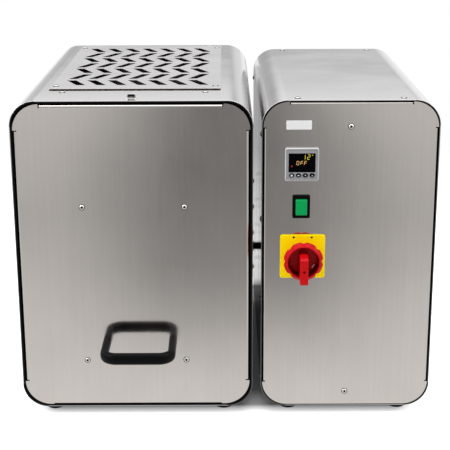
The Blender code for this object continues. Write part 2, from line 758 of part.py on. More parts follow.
def turned(name, parent, paint, profile, origin, rotation=(0, 0, 0), steps=ROUND_STEPS):
    """A profile in X and Z, read down its outer side, turned about Z."""
    bm = bmesh.new()
    verts = [bm.verts.new((x, 0, z)) for x, z in profile]
    for a, b in zip(verts, verts[1:]):
        bm.edges.new((a, b))
    mesh = bpy.data.meshes.new(name)
    bm.to_mesh(mesh)
    bm.free()
    obj = add_object(name, mesh, parent, paint, origin)
    obj.rotation_euler = rotation
    screw = obj.modifiers.new("turn", "SCREW")
    screw.steps = steps
    screw.render_steps = steps
    screw.use_merge_vertices = True
    screw.merge_threshold = 0.0001
    screw.use_smooth_shade = True
    return obj


def curve_mesh(points, radii, thickness, resolution):
    """A bevelled curve through points as a welded bmesh."""
    curve = bpy.data.curves.new("path", "CURVE")
    curve.dimensions = "3D"
    curve.bevel_depth = thickness / 2
    curve.bevel_resolution = resolution
    curve.use_fill_caps = True
    spline = curve.splines.new("POLY")
    spline.points.add(len(points) - 1)
    for point, place, radius in zip(spline.points, points, radii):
        point.co = (*place, 1)
        point.radius = radius
    obj = bpy.data.objects.new("path", curve)
    bpy.context.scene.collection.objects.link(obj)
    bpy.context.view_layer.update()
    graph = bpy.context.evaluated_depsgraph_get()
    mesh = bpy.data.meshes.new_from_object(obj.evaluated_get(graph))
    bm = bmesh.new()
    bm.from_mesh(mesh)
    bmesh.ops.remove_doubles(bm, verts=bm.verts, dist=WELD)
    bpy.data.objects.remove(obj, do_unlink=True)
    bpy.data.curves.remove(curve)
    bpy.data.meshes.remove(mesh)
    return bm


def screw_heads(name, parent, places):
    """Button heads as one tool: each place is a point on a surface and that surface's normal."""
    shapes = []
    for point, normal in places:
        point, normal = Vector(point), Vector(normal)
        foot, top = point - normal * SINK, point + normal * SCREW_HEIGHT
        shapes.append(rod_shape(foot, top, SCREW_RADIUS, SCREW_TOP_RADIUS, HEAD_STEPS))
    return finish(gather(shapes), name, parent, None)


def shell_screw_places(width, front, rear, top_inset):
    """A column of screws near each end of both sides, and two screws near each end of the top."""
    places = []
    for side in (-1, 1):
        for y, shares in ((front, FRONT_SCREW_SHARES), (rear, REAR_SCREW_SHARES)):
            for share in shares:
                places.append(((side * width / 2, y, share * CABINET_HEIGHT), (side, 0, 0)))
            places.append(((side * (width / 2 - top_inset), y, CABINET_HEIGHT), (0, 0, 1)))
    return places


def duct_hole(parent, x):
    return rod(
        "duct_hole",
        parent,
        None,
        (x - OVERRUN, DUCT_Y, DUCT_Z),
        (x + OVERRUN, DUCT_Y, DUCT_Z),
        DUCT_RADIUS + CLEAR,
    )


def furnace_shell(frame):
    shell = sleeve("furnace_shell", frame, STEEL, cabinet_loop(FURNACE_WIDTH, 0), 0, FURNACE_DEPTH, SHEET)
    half = VENT_WIDTH / 2 - VENT_EDGE
    window = box(
        "vent_window",
        frame,
        None,
        (-half, VENT_FRONT + VENT_EDGE, CABINET_HEIGHT - OVERRUN),
        (half, VENT_REAR - VENT_EDGE, CABINET_HEIGHT + OVERRUN),
    )
    cut(shell, window)
    cut(shell, duct_hole(frame, FURNACE_WIDTH / 2))
    front, rear = RECESS_DEPTH - BULKHEAD_FLANGE / 2, FURNACE_DEPTH - SHELL_SCREW_REAR_INSET
    places = shell_screw_places(FURNACE_WIDTH, front, rear, FURNACE_TOP_SCREW_INSET)
    return fuse(shell, screw_heads("furnace_shell_screws", frame, places))


def vent_plate(frame):
    """The cover over the terminals: rows of slots that lean left and right in turn."""
    half = VENT_WIDTH / 2
    low = CABINET_HEIGHT + CLEAR
    high = low + SHEET
    outline = rounded_rectangle(-half, half, VENT_FRONT, VENT_REAR, VENT_CORNER, BEND_STEPS)
    plate = slab("vent_plate", frame, VENT_STEEL, [outline], low, high, FACING_TOP)
    first_x, first_y = SLOT_SIDE_INSET - half, VENT_FRONT + SLOT_END_INSET
    pitch_x = -2 * first_x / (SLOT_COLUMNS - 1)
    pitch_y = (VENT_REAR - SLOT_END_INSET - first_y) / (SLOT_ROWS - 1)
    slots = []
    for row in range(SLOT_ROWS):
        lean = SLOT_LEAN if row % 2 else -SLOT_LEAN
        for column in range(SLOT_COLUMNS):
            x, y = first_x + column * pitch_x, first_y + row * pitch_y
            loop = leaning_slot(x, y, SLOT_LENGTH, SLOT_WIDTH, lean)
            slots.append(slab_shape([loop], low - OVERRUN, high + OVERRUN, FACING_TOP))
    cut(plate, finish(gather(slots), "vent_slots", frame, None))
    x = half - VENT_SCREW_SIDE_INSET
    places = []
    for side in (-1, 1):
        for y in (VENT_FRONT + VENT_SCREW_END_INSET, VENT_REAR - VENT_SCREW_END_INSET):
            places.append(((side * x, y, high), (0, 0, 1)))
    return fuse(plate, screw_heads("vent_screws", frame, places))


def arch_outline(half, low, high, wall):
    """A strip bent into an arch, seen from the front: two legs and a top with round corners."""
    outer, inner, quarter = wall * 2, wall, math.pi / 2
    x, z = half - outer, high - outer
    steps = SLOT_END_STEPS
    points = [(half, low), *arc(x, z, outer, 0, quarter, steps)]
    points += [*arc(-x, z, outer, quarter, 2 * quarter, steps), (-half, low)]
    points += [(wall - half, low), *arc(-x, z, inner, 2 * quarter, quarter, steps)]
    return [*points, *arc(x, z, inner, quarter, 0, steps), (half - wall, low)]


def door_catch(frame):
    """A small base plate with an arch across it, and a round bar low in the arch."""
    low = CABINET_HEIGHT + CLEAR
    half = CATCH_WIDTH / 2
    rear = CATCH_FRONT + CATCH_LENGTH
    outline = rounded_rectangle(-half, half, CATCH_FRONT, rear, SCREW_TOP_RADIUS, BEND_STEPS)
    catch = slab("door_catch", frame, POLISHED, [outline], low, low + CATCH_PLATE, FACING_TOP)
    middle = (CATCH_FRONT + rear) / 2
    arch_half = half - CATCH_ARCH_INSET
    arch = arch_outline(arch_half, low + CATCH_PLATE / 2, low + CATCH_HEIGHT, CATCH_WALL)
    start, end = middle - CATCH_ARCH_DEPTH / 2, middle + CATCH_ARCH_DEPTH / 2
    fuse(catch, slab("catch_arch", frame, None, [arch], start, end, FACING_FRONT))
    reach, z = arch_half - CATCH_WALL / 2, low + CATCH_PLATE + CATCH_BAR_RADIUS / 2
    return fuse(catch, pin("catch_bar", frame, (-reach, middle, z), (reach, middle, z), CATCH_BAR_RADIUS))


def door_seal(frame):
    inset = SHEET + CLEAR
    loops = [cabinet_loop(FURNACE_WIDTH, inset), cabinet_loop(FURNACE_WIDTH, inset + SEAL_THICKNESS)]
    return slab(
        "door_seal", frame, BLACK_RUBBER, loops, SEAL_SETBACK, SEAL_SETBACK + SEAL_DEPTH, FACING_FRONT
    )


def front_bulkhead(frame):
    plate = tray_panel(
        "front_bulkhead", frame, DARK_STEEL, FURNACE_WIDTH, BULKHEAD_BACK, BULKHEAD_FLANGE + SHEET, -1
    )
    half = BLOCK_WIDTH / 2 + BLOCK_OPENING_GAP
    opening = box(
        "block_opening",
        frame,
        None,
        (-half, RECESS_DEPTH - OVERRUN, BLOCK_LOW - BLOCK_OPENING_GAP),
        (half, RECESS_DEPTH + OVERRUN, BLOCK_HIGH + BLOCK_OPENING_GAP),
    )
    return cut(plate, opening)


def louvre_tool(name, frame, rear, shares):
    """Rows of horizontal slots, in two columns, for each share of the cabinet's height."""
    shapes = []
    for share in shares:
        for row in range(LOUVRE_ROWS):
            z = share * CABINET_HEIGHT + (row - (LOUVRE_ROWS - 1) / 2) * LOUVRE_PITCH
            for side in (-1, 1):
                x = side * (LOUVRE_WIDTH + LOUVRE_COLUMN_GAP) / 2
                loop = obround(x, z, LOUVRE_WIDTH, LOUVRE_HEIGHT, math.radians(90), BEND_STEPS)
                shapes.append(slab_shape([loop], rear - OVERRUN, rear + OVERRUN, FACING_FRONT))
    return finish(gather(shapes), name, frame, None)


def furnace_rear_panel(frame):
    rear = FURNACE_DEPTH - REAR_SETBACK
    panel = tray_panel("furnace_rear_panel", frame, STEEL, FURNACE_WIDTH, rear, REAR_FLANGE, -1)
    cut(panel, duct_hole(frame, FURNACE_WIDTH / 2))
    return cut(panel, louvre_tool("furnace_louvres", frame, rear, FURNACE_LOUVRE_SHARES))


def open_box(name, parent, paint, low, high, open_axis, open_side, thickness):
    """A folded sheet box, open on one side."""
    bm = box_shape(low, high)
    bm.normal_update()
    gone = [f for f in bm.faces if f.normal[open_axis] * open_side > 1 / 2]
    bmesh.ops.delete(bm, geom=gone, context="FACES_ONLY")
    return thicken(finish(bm, name, parent, paint, outward=False), thickness)


def furnace_chassis(frame):
    half = CHASSIS_WIDTH / 2
    return open_box(
        "furnace_chassis",
        frame,
        DARK_STEEL,
        (-half, LINING_FRONT, CHASSIS_LOW),
        (half, FURNACE_DEPTH - REAR_SETBACK - REAR_FLANGE - OVERRUN, CHASSIS_LOW + CHASSIS_HEIGHT),
        2,
        1,
        CHASSIS_SHEET,
    )


def element_x():
    return CHAMBER_WIDTH / 2 - ELEMENT_INSET


def element_places():
    """The middle of each heating element in Y."""
    return [CHAMBER_START + share * CHAMBER_DEPTH for share in ELEMENT_PLACE_SHARES]


def thermocouple_z():
    return CHAMBER_LOW + THERMOCOUPLE_HEIGHT_SHARE * (CHAMBER_HIGH - CHAMBER_LOW)


def inner_casing(frame):
    half = CASING_WIDTH / 2
    casing = open_box(
        "inner_casing",
        frame,
        GALVANISED,
        (-half, LINING_FRONT, CASING_LOW),
        (half, CASING_BACK, CASING_HIGH),
        1,
        -1,
        CASING_SHEET,
    )
    places = element_places()
    reach = TERMINAL_RADIUS + TERMINAL_SLOT_GAP
    for side, name in ((-1, "left_terminal_slot"), (1, "right_terminal_slot")):
        slot = box(
            name,
            frame,
            None,
            (side * element_x() - reach, places[0] - ELEMENT_SPAN / 2 - reach, CASING_HIGH - OVERRUN),
            (side * element_x() + reach, places[-1] + ELEMENT_SPAN / 2 + reach, CASING_HIGH + OVERRUN),
        )
        cut(casing, slot)
    hole = rod(
        "casing_thermocouple_hole",
        frame,
        None,
        (0, CASING_BACK - OVERRUN, thermocouple_z()),
        (0, CASING_BACK + OVERRUN, thermocouple_z()),
        THERMOCOUPLE_RADIUS + TERMINAL_HOLE_GAP,
        steps=SMALL_STEPS,
    )
    return cut(casing, hole)


def lining_boards(frame):
    """Five refractory fibre boards that make the chamber."""
    side, inner = LINING_SIDE, CHAMBER_WIDTH / 2
    box(
        "insulation_floor",
        frame,
        REFRACTORY,
        (-side, LINING_FRONT, LINING_LOW),
        (side, LINING_BACK, CHAMBER_LOW - CLEAR),
    )
    for sign, name in ((-1, "insulation_left"), (1, "insulation_right")):
        near, far = sorted((sign * inner, sign * side))
        box(name, frame, REFRACTORY, (near, LINING_FRONT, CHAMBER_LOW), (far, LINING_BACK, CHAMBER_HIGH))
    back = box(
        "insulation_back",
        frame,
        REFRACTORY,
        (CLEAR - inner, CHAMBER_BACK, CHAMBER_LOW),
        (inner - CLEAR, LINING_BACK, CHAMBER_HIGH),
    )
    bore = rod(
        "thermocouple_bore",
        frame,
        None,
        (0, CHAMBER_BACK - OVERRUN, thermocouple_z()),
        (0, LINING_BACK + OVERRUN, thermocouple_z()),
        THERMOCOUPLE_RADIUS + TERMINAL_HOLE_GAP,
        steps=SMALL_STEPS,
    )
    cut(back, bore)
    roof = box(
        "insulation_roof",
        frame,
        REFRACTORY,
        (-side, LINING_FRONT, CHAMBER_HIGH + CLEAR),
        (side, LINING_BACK, LINING_HIGH),
    )
    holes = []
    for x in (-element_x(), element_x()):
        for middle in element_places():
            for y in (middle - ELEMENT_SPAN / 2, middle + ELEMENT_SPAN / 2):
                start, end = (x, y, CHAMBER_HIGH - OVERRUN), (x, y, LINING_HIGH + OVERRUN)
                holes.append(rod_shape(start, end, TERMINAL_RADIUS + TERMINAL_HOLE_GAP, steps=SMALL_STEPS))
    cut(roof, finish(gather(holes), "terminal_holes", frame, None))


def hearth_plate(frame):
    half = HEARTH_WIDTH / 2
    low = CHAMBER_LOW + CLEAR
    plate = box(
        "hearth_plate",
        frame,
        CERAMIC,
        (-half, CHAMBER_START + HEARTH_END_GAP, low),
        (half, CHAMBER_BACK - HEARTH_END_GAP, low + HEARTH_THICKNESS),
    )
    return soften(plate, HEARTH_THICKNESS / 8, 1)


def heating_element(name, frame, x, middle):
    """A hanging U: thin in the chamber, and thick where its two ends pass through the roof."""
    bend = ELEMENT_SPAN / 2
    bottom = CHAMBER_LOW + ELEMENT_FLOOR_GAP + bend
    thick = TERMINAL_RADIUS / ELEMENT_RADIUS
    shoulder = CHAMBER_HIGH - TERMINAL_DROP
    heights = (TERMINAL_TOP, shoulder, shoulder - TERMINAL_TAPER)
    radii = (thick, thick, 1)
    down = [(x, middle - bend, z) for z in heights]
    up = [(x, middle + bend, z) for z in reversed(heights)]
    turn = [(x, middle + v, bottom + w) for v, w in arc(0, 0, bend, -math.pi, 0, CORNER_STEPS)]
    points = down + turn + up
    sizes = [*radii, *([1] * len(turn)), *reversed(radii)]
    bm = curve_mesh(points, sizes, ELEMENT_RADIUS * 2, 2)
    return finish(bm, name, frame, ELEMENT, (x, middle, TERMINAL_TOP))


def strap(name, frame, ends, drop):
    """A flat link with a hole at each end, on two terminals."""
    (x0, y0), (x1, y1) = ends
    high = TERMINAL_TOP - drop
    angle = math.atan2(y1 - y0, x1 - x0) - math.pi / 2
    length = math.hypot(x1 - x0, y1 - y0) + STRAP_WIDTH
    loops = [obround((x0 + x1) / 2, (y0 + y1) / 2, length, STRAP_WIDTH, angle, SLOT_END_STEPS * 2)]
    loops += [circle(x, y, TERMINAL_RADIUS + CLEAR, SMALL_STEPS) for x, y in ends]
    return slab(name, frame, ALUMINIUM, loops, high - STRAP_THICKNESS, high, FACING_TOP)


def elements_and_straps(frame):
    x, places, half = element_x(), element_places(), ELEMENT_SPAN / 2
    for side, label in ((-1, "left"), (1, "right")):
        for middle, place in zip(places, ("front", "rear")):
            heating_element(f"heating_element_{label}_{place}", frame, side * x, middle)
        ends = ((side * x, places[0] + half), (side * x, places[1] - half))
        strap(f"terminal_strap_{label}", frame, ends, STRAP_BELOW_TOP)
    ends = ((-x, places[1] + half), (x, places[1] + half))
    strap("terminal_strap_cross", frame, ends, CROSS_STRAP_BELOW_TOP)


def thermocouple(frame):
    z = thermocouple_z()
    head = rod(
        "thermocouple",
        frame,
        ALUMINIUM,
        (0, CASING_BACK + CLEAR, z),
        (0, CASING_BACK + CLEAR + THERMOCOUPLE_HEAD_LENGTH, z),
        THERMOCOUPLE_HEAD_RADIUS,
    )
    tip = (0, CHAMBER_BACK - THERMOCOUPLE_REACH, z)
    root = (0, CASING_BACK + THERMOCOUPLE_HEAD_LENGTH / 2, z)
    return fuse(head, pin("thermocouple_tube", frame, tip, root, THERMOCOUPLE_RADIUS))


def side_slab(name, parent, paint, loops, x, thickness, side, origin=(0, 0, 0)):
    """A plate in the Y and Z plane whose inner face is at x, on the side given."""
    low, high = sorted((side * x, side * (x + thickness)))
    return slab(name, parent, paint, loops, low, high, FACING_SIDE, origin)


def pivot_bracket(name, frame, side):
    """A plate on the bulkhead with the fixed pins of both arms of its side."""
    back = RECESS_DEPTH - CLEAR
    margin = BRACKET_MARGIN
    outline = [
        (back, LOWER_PIVOT_Z - margin * 2),
        (back, UPPER_PIVOT_Z + margin),
        (UPPER_PIVOT_Y - margin, UPPER_PIVOT_Z + margin),
        (UPPER_PIVOT_Y - margin, UPPER_PIVOT_Z - margin),
        (LOWER_PIVOT_Y - margin, LOWER_PIVOT_Z - margin),
    ]
    bracket = side_slab(name, frame, DARK_STEEL, [outline], BRACKET_X, BRACKET_SHEET, side)
    inner, outer = side * BRACKET_X, side * (BRACKET_X + BRACKET_FOOT)
    ends = sorted((inner, outer))
    foot = box(
        name + "_foot",
        frame,
        None,
        (ends[0], back - BRACKET_SHEET, LOWER_PIVOT_Z - margin * 2),
        (ends[1], back, UPPER_PIVOT_Z + margin),
    )
    fuse(bracket, foot)
    root = side * (BRACKET_X + BRACKET_SHEET / 2)
    for arm_x, y, z, pin_name in (
        (UPPER_ARM_X, UPPER_PIVOT_Y, UPPER_PIVOT_Z, "_upper_pin"),
        (LOWER_ARM_X, LOWER_PIVOT_Y, LOWER_PIVOT_Z, "_lower_pin"),
    ):
        face = side * (arm_x + ARM_THICKNESS / 2 + CLEAR)
        shoulder = name + pin_name + "_shoulder"
        fuse(bracket, pin(shoulder, frame, (root, y, z), (face, y, z), SHOULDER_RADIUS))
        upper = arm_x == UPPER_ARM_X
        reach = PIN_ENGAGEMENT if upper else ARM_THICKNESS / 2 + CLEAR + PIN_HEAD_THICKNESS
        tip = side * (arm_x - reach)
        pin_end = tip + side * SINK * (not upper)
        fuse(bracket, pin(name + pin_name, frame, (root, y, z), (pin_end, y, z), PIN_RADIUS))
        if not upper:
            keeper = side * (arm_x - ARM_THICKNESS / 2 - CLEAR)
            fuse(bracket, pin(name + "_keeper", frame, (keeper, y, z), (tip, y, z), SHOULDER_RADIUS))
    return bracket


def arm_loops(y, z):
    """A flat arm that hangs down from its pivot, with an eye at each end."""
    hole = PIN_RADIUS + CLEAR
    return [
        obround(y, z - ARM_LENGTH / 2, ARM_LENGTH + ARM_WIDTH, ARM_WIDTH, 0, CORNER_STEPS),
        circle(y, z, hole),
        circle(y, z - ARM_LENGTH, hole),
    ]


def swing_frame(frame):
    """Both upper arms, welded to the cross tube that turns on the brackets' upper pins."""
    origin = (0, UPPER_PIVOT_Y, UPPER_PIVOT_Z)
    reach = UPPER_ARM_X - ARM_THICKNESS / 2 + SINK
    tube = rod(
        "swing_frame",
        frame,
        DARK_STEEL,
        (-reach, UPPER_PIVOT_Y, UPPER_PIVOT_Z),
        (reach, UPPER_PIVOT_Y, UPPER_PIVOT_Z),
        CROSS_TUBE_RADIUS,
        origin=origin,
    )
    inner = UPPER_ARM_X - ARM_THICKNESS / 2
    for side, label in ((-1, "left"), (1, "right")):
        loops = arm_loops(UPPER_PIVOT_Y, UPPER_PIVOT_Z)[::2]
        fuse(tube, side_slab(f"upper_arm_{label}", frame, None, loops, inner, ARM_THICKNESS, side))
        bore = rod(
            f"swing_bore_{label}",
            frame,
            None,
            (side * (UPPER_ARM_X - PIN_ENGAGEMENT - OVERRUN), UPPER_PIVOT_Y, UPPER_PIVOT_Z),
            (side * (UPPER_ARM_X + OVERRUN), UPPER_PIVOT_Y, UPPER_PIVOT_Z),
            PIN_RADIUS + CLEAR,
        )
        cut(tube, bore)
    return tube


def lower_arm(name, frame, side):
    inner = LOWER_ARM_X - ARM_THICKNESS / 2
    origin = (side * LOWER_ARM_X, LOWER_PIVOT_Y, LOWER_PIVOT_Z)
    loops = arm_loops(LOWER_PIVOT_Y, LOWER_PIVOT_Z)
    return side_slab(name, frame, DARK_STEEL, loops, inner, ARM_THICKNESS, side, origin)


def door_origin():
    return (0, UPPER_PIVOT_Y, UPPER_EAR_Z)


def door_panel(frame):
    """The folded front of the door, with the heads of the four screws that hold it to the carrier."""
    panel = folded_panel(
        "door_panel",
        frame,
        STEEL,
        FURNACE_WIDTH,
        DOOR_GAP,
        -DOOR_PROUD,
        DOOR_BEND,
        DOOR_FLANGE,
        door_origin(),
    )
    places = []
    for side in (-1, 1):
        x = side * (CARRIER_EAR_X - DOOR_SCREW_EAR_GAP)
        for z in (BLOCK_LOW + DOOR_SCREW_LOW_INSET, BLOCK_HIGH - DOOR_SCREW_TOP_INSET):
            places.append(((x, -DOOR_PROUD, z), (0, -1, 0)))
    return fuse(panel, screw_heads("door_screws", frame, places))


def door_carrier(frame):
    """The folded tray that holds the insulation block, with an ear and two pins on each side."""
    low, front = CARRIER_LOW, CARRIER_FRONT
    half = CARRIER_EAR_X + CARRIER_EAR_SHEET
    deep = front + CARRIER_FLANGE
    tray = box(
        "door_carrier",
        frame,
        DARK_STEEL,
        (-half, front, low),
        (half, deep, CARRIER_HIGH),
        door_origin(),
    )
    hollow = box(
        "carrier_hollow",
        frame,
        None,
        (SHEET - half, CARRIER_BACK, low + SHEET),
        (half - SHEET, deep + OVERRUN, CARRIER_HIGH - SHEET),
    )
    cut(tray, hollow)
    start, base = front + SINK, low + SINK
    back_low, back_high = LOWER_PIVOT_Y + EAR_REACH, UPPER_PIVOT_Y + EAR_REACH
    ear = [
        (start, base),
        (back_low, base),
        (back_low, LOWER_EAR_Z + EAR_REACH),
        (back_high, UPPER_EAR_Z + EAR_REACH),
        (UPPER_PIVOT_Y - EAR_REACH, UPPER_EAR_Z + EAR_REACH * 2),
        (start, UPPER_EAR_Z + EAR_REACH * 3),
    ]
    thick = CARRIER_EAR_SHEET - CLEAR
    for side, label in ((-1, "left"), (1, "right")):
        fuse(tray, side_slab(f"carrier_ear_{label}", frame, None, [ear], CARRIER_EAR_X, thick, side))
        root = side * (CARRIER_EAR_X + thick / 2)
        for arm_x, y, z, level in (
            (UPPER_ARM_X, UPPER_PIVOT_Y, UPPER_EAR_Z, "upper"),
            (LOWER_ARM_X, LOWER_PIVOT_Y, LOWER_EAR_Z, "lower"),
        ):
            face = side * (arm_x - ARM_THICKNESS / 2 - CLEAR)
            keeper = side * (arm_x + ARM_THICKNESS / 2 + CLEAR)
            tip = keeper + side * PIN_HEAD_THICKNESS
            part = f"carrier_{level}_{label}"
            fuse(tray, pin(part + "_shoulder", frame, (root, y, z), (face, y, z), SHOULDER_RADIUS))
            fuse(tray, pin(part + "_pin", frame, (root, y, z), (tip - side * SINK, y, z), PIN_RADIUS))
            fuse(tray, pin(part + "_keeper", frame, (keeper, y, z), (tip, y, z), SHOULDER_RADIUS))
    return tray


def door_insulation(frame):
    """The fibre block behind the door, with the tapered plug that fills the chamber's mouth."""
    half = BLOCK_WIDTH / 2
    block = box(
        "door_insulation",
        frame,
        REFRACTORY,
        (-half, CARRIER_BACK + CLEAR, BLOCK_LOW),
        (half, BLOCK_BACK, BLOCK_HIGH),
        door_origin(),
    )
    root, tip = BLOCK_BACK - OVERRUN, PLUG_BACK
    wide = CHAMBER_WIDTH / 2 - PLUG_GAP
    low, high = CHAMBER_LOW + PLUG_GAP, CHAMBER_HIGH - PLUG_GAP
    shape = box_shape((-wide, root, low), (wide, tip, high))
    for vert in shape.verts:
        if vert.co.y > (root + tip) / 2:
            vert.co.x -= math.copysign(PLUG_TAPER, vert.co.x)
            vert.co.z -= math.copysign(PLUG_TAPER, vert.co.z - CHAMBER_MIDDLE)
    return fuse(block, finish(shape, "door_plug", frame, None))


def door_handle(frame):
    """A bow handle: two legs and a bar in one bent oval section."""
    half = HANDLE_SPAN / 2
    foot = -DOOR_PROUD - CLEAR
    front = -DOOR_PROUD - HANDLE_REACH
    quarter = math.pi / 2
    left = arc(HANDLE_BEND - half, front + HANDLE_BEND, HANDLE_BEND, -2 * quarter, -quarter, CORNER_STEPS)
    right = arc(half - HANDLE_BEND, front + HANDLE_BEND, HANDLE_BEND, -quarter, 0, CORNER_STEPS)
    path = [(-half, foot), *left, *right, (half, foot)]
    points = [(x, y, 0) for x, y in path]
    bm = curve_mesh(points, [1] * len(points), HANDLE_THICKNESS, 4)
    bmesh.ops.scale(bm, verts=bm.verts, vec=(1, 1, HANDLE_HEIGHT / HANDLE_THICKNESS))
    bmesh.ops.translate(bm, verts=bm.verts, vec=(HANDLE_SHIFT, 0, HANDLE_Z))
    return finish(bm, "door_handle", frame, BLACK_PLASTIC, door_origin())


def foot(name, frame, x, y):
    profile = [
        (0, -CLEAR),
        (FOOT_RADIUS, -CLEAR),
        (FOOT_RADIUS, FOOT_TOE - FOOT_HEIGHT),
        (FOOT_RADIUS - FOOT_TOE / 3, FOOT_TOE / 3 - FOOT_HEIGHT),
        (FOOT_RADIUS - FOOT_TOE, -FOOT_HEIGHT),
        (0, -FOOT_HEIGHT),
    ]
    return turned(name, frame, BLACK_RUBBER, profile, (x, y, 0), steps=ROUND_STEPS)


def feet(prefix, frame, width, depth):
    x = width / 2 - FOOT_SIDE_INSET
    for side, label in ((-1, "left"), (1, "right")):
        for y, place in ((FOOT_END_INSET, "front"), (depth - FOOT_END_INSET, "rear")):
            foot(f"{prefix}_foot_{place}_{label}", frame, side * x, y)


def control_shell(frame):
    shell = sleeve("control_shell", frame, STEEL, cabinet_loop(CONTROL_WIDTH, 0), 0, CONTROL_DEPTH, SHEET)
    cut(shell, duct_hole(frame, -CONTROL_WIDTH / 2))
    front, rear = CONTROL_SCREW_INSET, CONTROL_DEPTH - SHELL_SCREW_REAR_INSET
    places = shell_screw_places(CONTROL_WIDTH, front, rear, CONTROL_TOP_SCREW_INSET)
    return fuse(shell, screw_heads("control_shell_screws", frame, places))


def control_front_panel(frame):
    panel = folded_panel(
        "control_front_panel",
        frame,
        STEEL,
        CONTROL_WIDTH,
        CONTROL_PANEL_GAP,
        CONTROL_PANEL_SETBACK,
        CONTROL_BEND,
        CONTROL_FLANGE,
    )
    for name, x, z, width, height in (
        ("controller_cutout", CONTROLS_X, CONTROLLER_Z, CONTROLLER_BODY, CONTROLLER_BODY),
        ("push_cutout", CONTROLS_X, PUSH_Z, PUSH_BODY_WIDTH, PUSH_BODY_HEIGHT),
    ):
        half_x, half_z = width / 2 + CUTOUT_GAP, height / 2 + CUTOUT_GAP
        low, high = (x - half_x, -OVERRUN, z - half_z), (x + half_x, OVERRUN, z + half_z)
        cut(panel, box(name, frame, None, low, high))
    hole = rod(
        "switch_cutout",
        frame,
        None,
        (MAIN_SWITCH_X, -OVERRUN, MAIN_SWITCH_Z),
        (MAIN_SWITCH_X, OVERRUN, MAIN_SWITCH_Z),
        SHAFT_RADIUS + CUTOUT_GAP,
    )
    cut(panel, hole)
    heights = (PANEL_SCREW_LOW, CABINET_HEIGHT - PANEL_SCREW_DROP)
    places = [((0, CONTROL_PANEL_SETBACK, z), (0, -1, 0)) for z in heights]
    return fuse(panel, screw_heads("control_panel_screws", frame, places))


def inlet_flange_loop():
    half_x, half_z = INLET_FLANGE_WIDTH / 2, INLET_FLANGE_HEIGHT / 2
    x, z = INLET_X, INLET_Z
    return rounded_rectangle(x - half_x, x + half_x, z - half_z, z + half_z, INLET_CORNER, BEND_STEPS)


def control_rear_panel(frame):
    rear = CONTROL_DEPTH - REAR_SETBACK
    panel = tray_panel("control_rear_panel", frame, STEEL, CONTROL_WIDTH, rear, REAR_FLANGE, -1)
    cut(panel, louvre_tool("control_louvres", frame, rear, CONTROL_LOUVRE_SHARES))
    cut(panel, duct_hole(frame, -CONTROL_WIDTH / 2))
    half_x, half_z = INLET_WIDTH / 2 + CUTOUT_GAP, INLET_HEIGHT / 2 + CUTOUT_GAP
    hole = box(
        "inlet_cutout",
        frame,
        None,
        (INLET_X - half_x, rear - OVERRUN, INLET_Z - half_z),
        (INLET_X + half_x, rear + OVERRUN, INLET_Z + half_z),
    )
    return cut(panel, hole)


def mains_inlet(frame):
    """An appliance inlet: a flange on the rear panel, and a cup with three blades."""
    rear = CONTROL_DEPTH - REAR_SETBACK + CLEAR
    inlet = slab(
        "mains_inlet",
        frame,
        BLACK_PLASTIC,
        [inlet_flange_loop()],
        rear,
        rear + INLET_FLANGE_THICKNESS,
        FACING_FRONT,
    )
    half_x, half_z = INLET_WIDTH / 2, INLET_HEIGHT / 2
    mouth = rear + INLET_FLANGE_THICKNESS
    body = box(
        "inlet_body",
        frame,
        None,
        (INLET_X - half_x, mouth - INLET_DEPTH, INLET_Z - half_z),
        (INLET_X + half_x, rear + SINK, INLET_Z + half_z),
    )
    fuse(inlet, body)
    wall = INLET_WALL
    cup = box(
        "inlet_cup",
        frame,
        None,
        (INLET_X - half_x + wall, mouth - INLET_CAVITY, INLET_Z - half_z + wall),
        (INLET_X + half_x - wall, mouth + OVERRUN, INLET_Z + half_z - wall),
    )
    cut(inlet, cup)
    for number, offset in enumerate((-1, 0, 1)):
        x, root = INLET_X + offset * INLET_BLADE_PITCH, mouth - INLET_CAVITY
        half_x, half_z = INLET_BLADE_WIDTH / 2, INLET_BLADE_HEIGHT / 2
        blade = box(
            f"inlet_blade_{number + 1}",
            frame,
            None,
            (x - half_x, root - SINK, INLET_Z - half_z),
            (x + half_x, root + INLET_BLADE_LENGTH, INLET_Z + half_z),
        )
        fuse(inlet, blade)
    return inlet


def key_places():
    return [CONTROLS_X + (number - 3 / 2) * KEY_PITCH for number in range(4)]


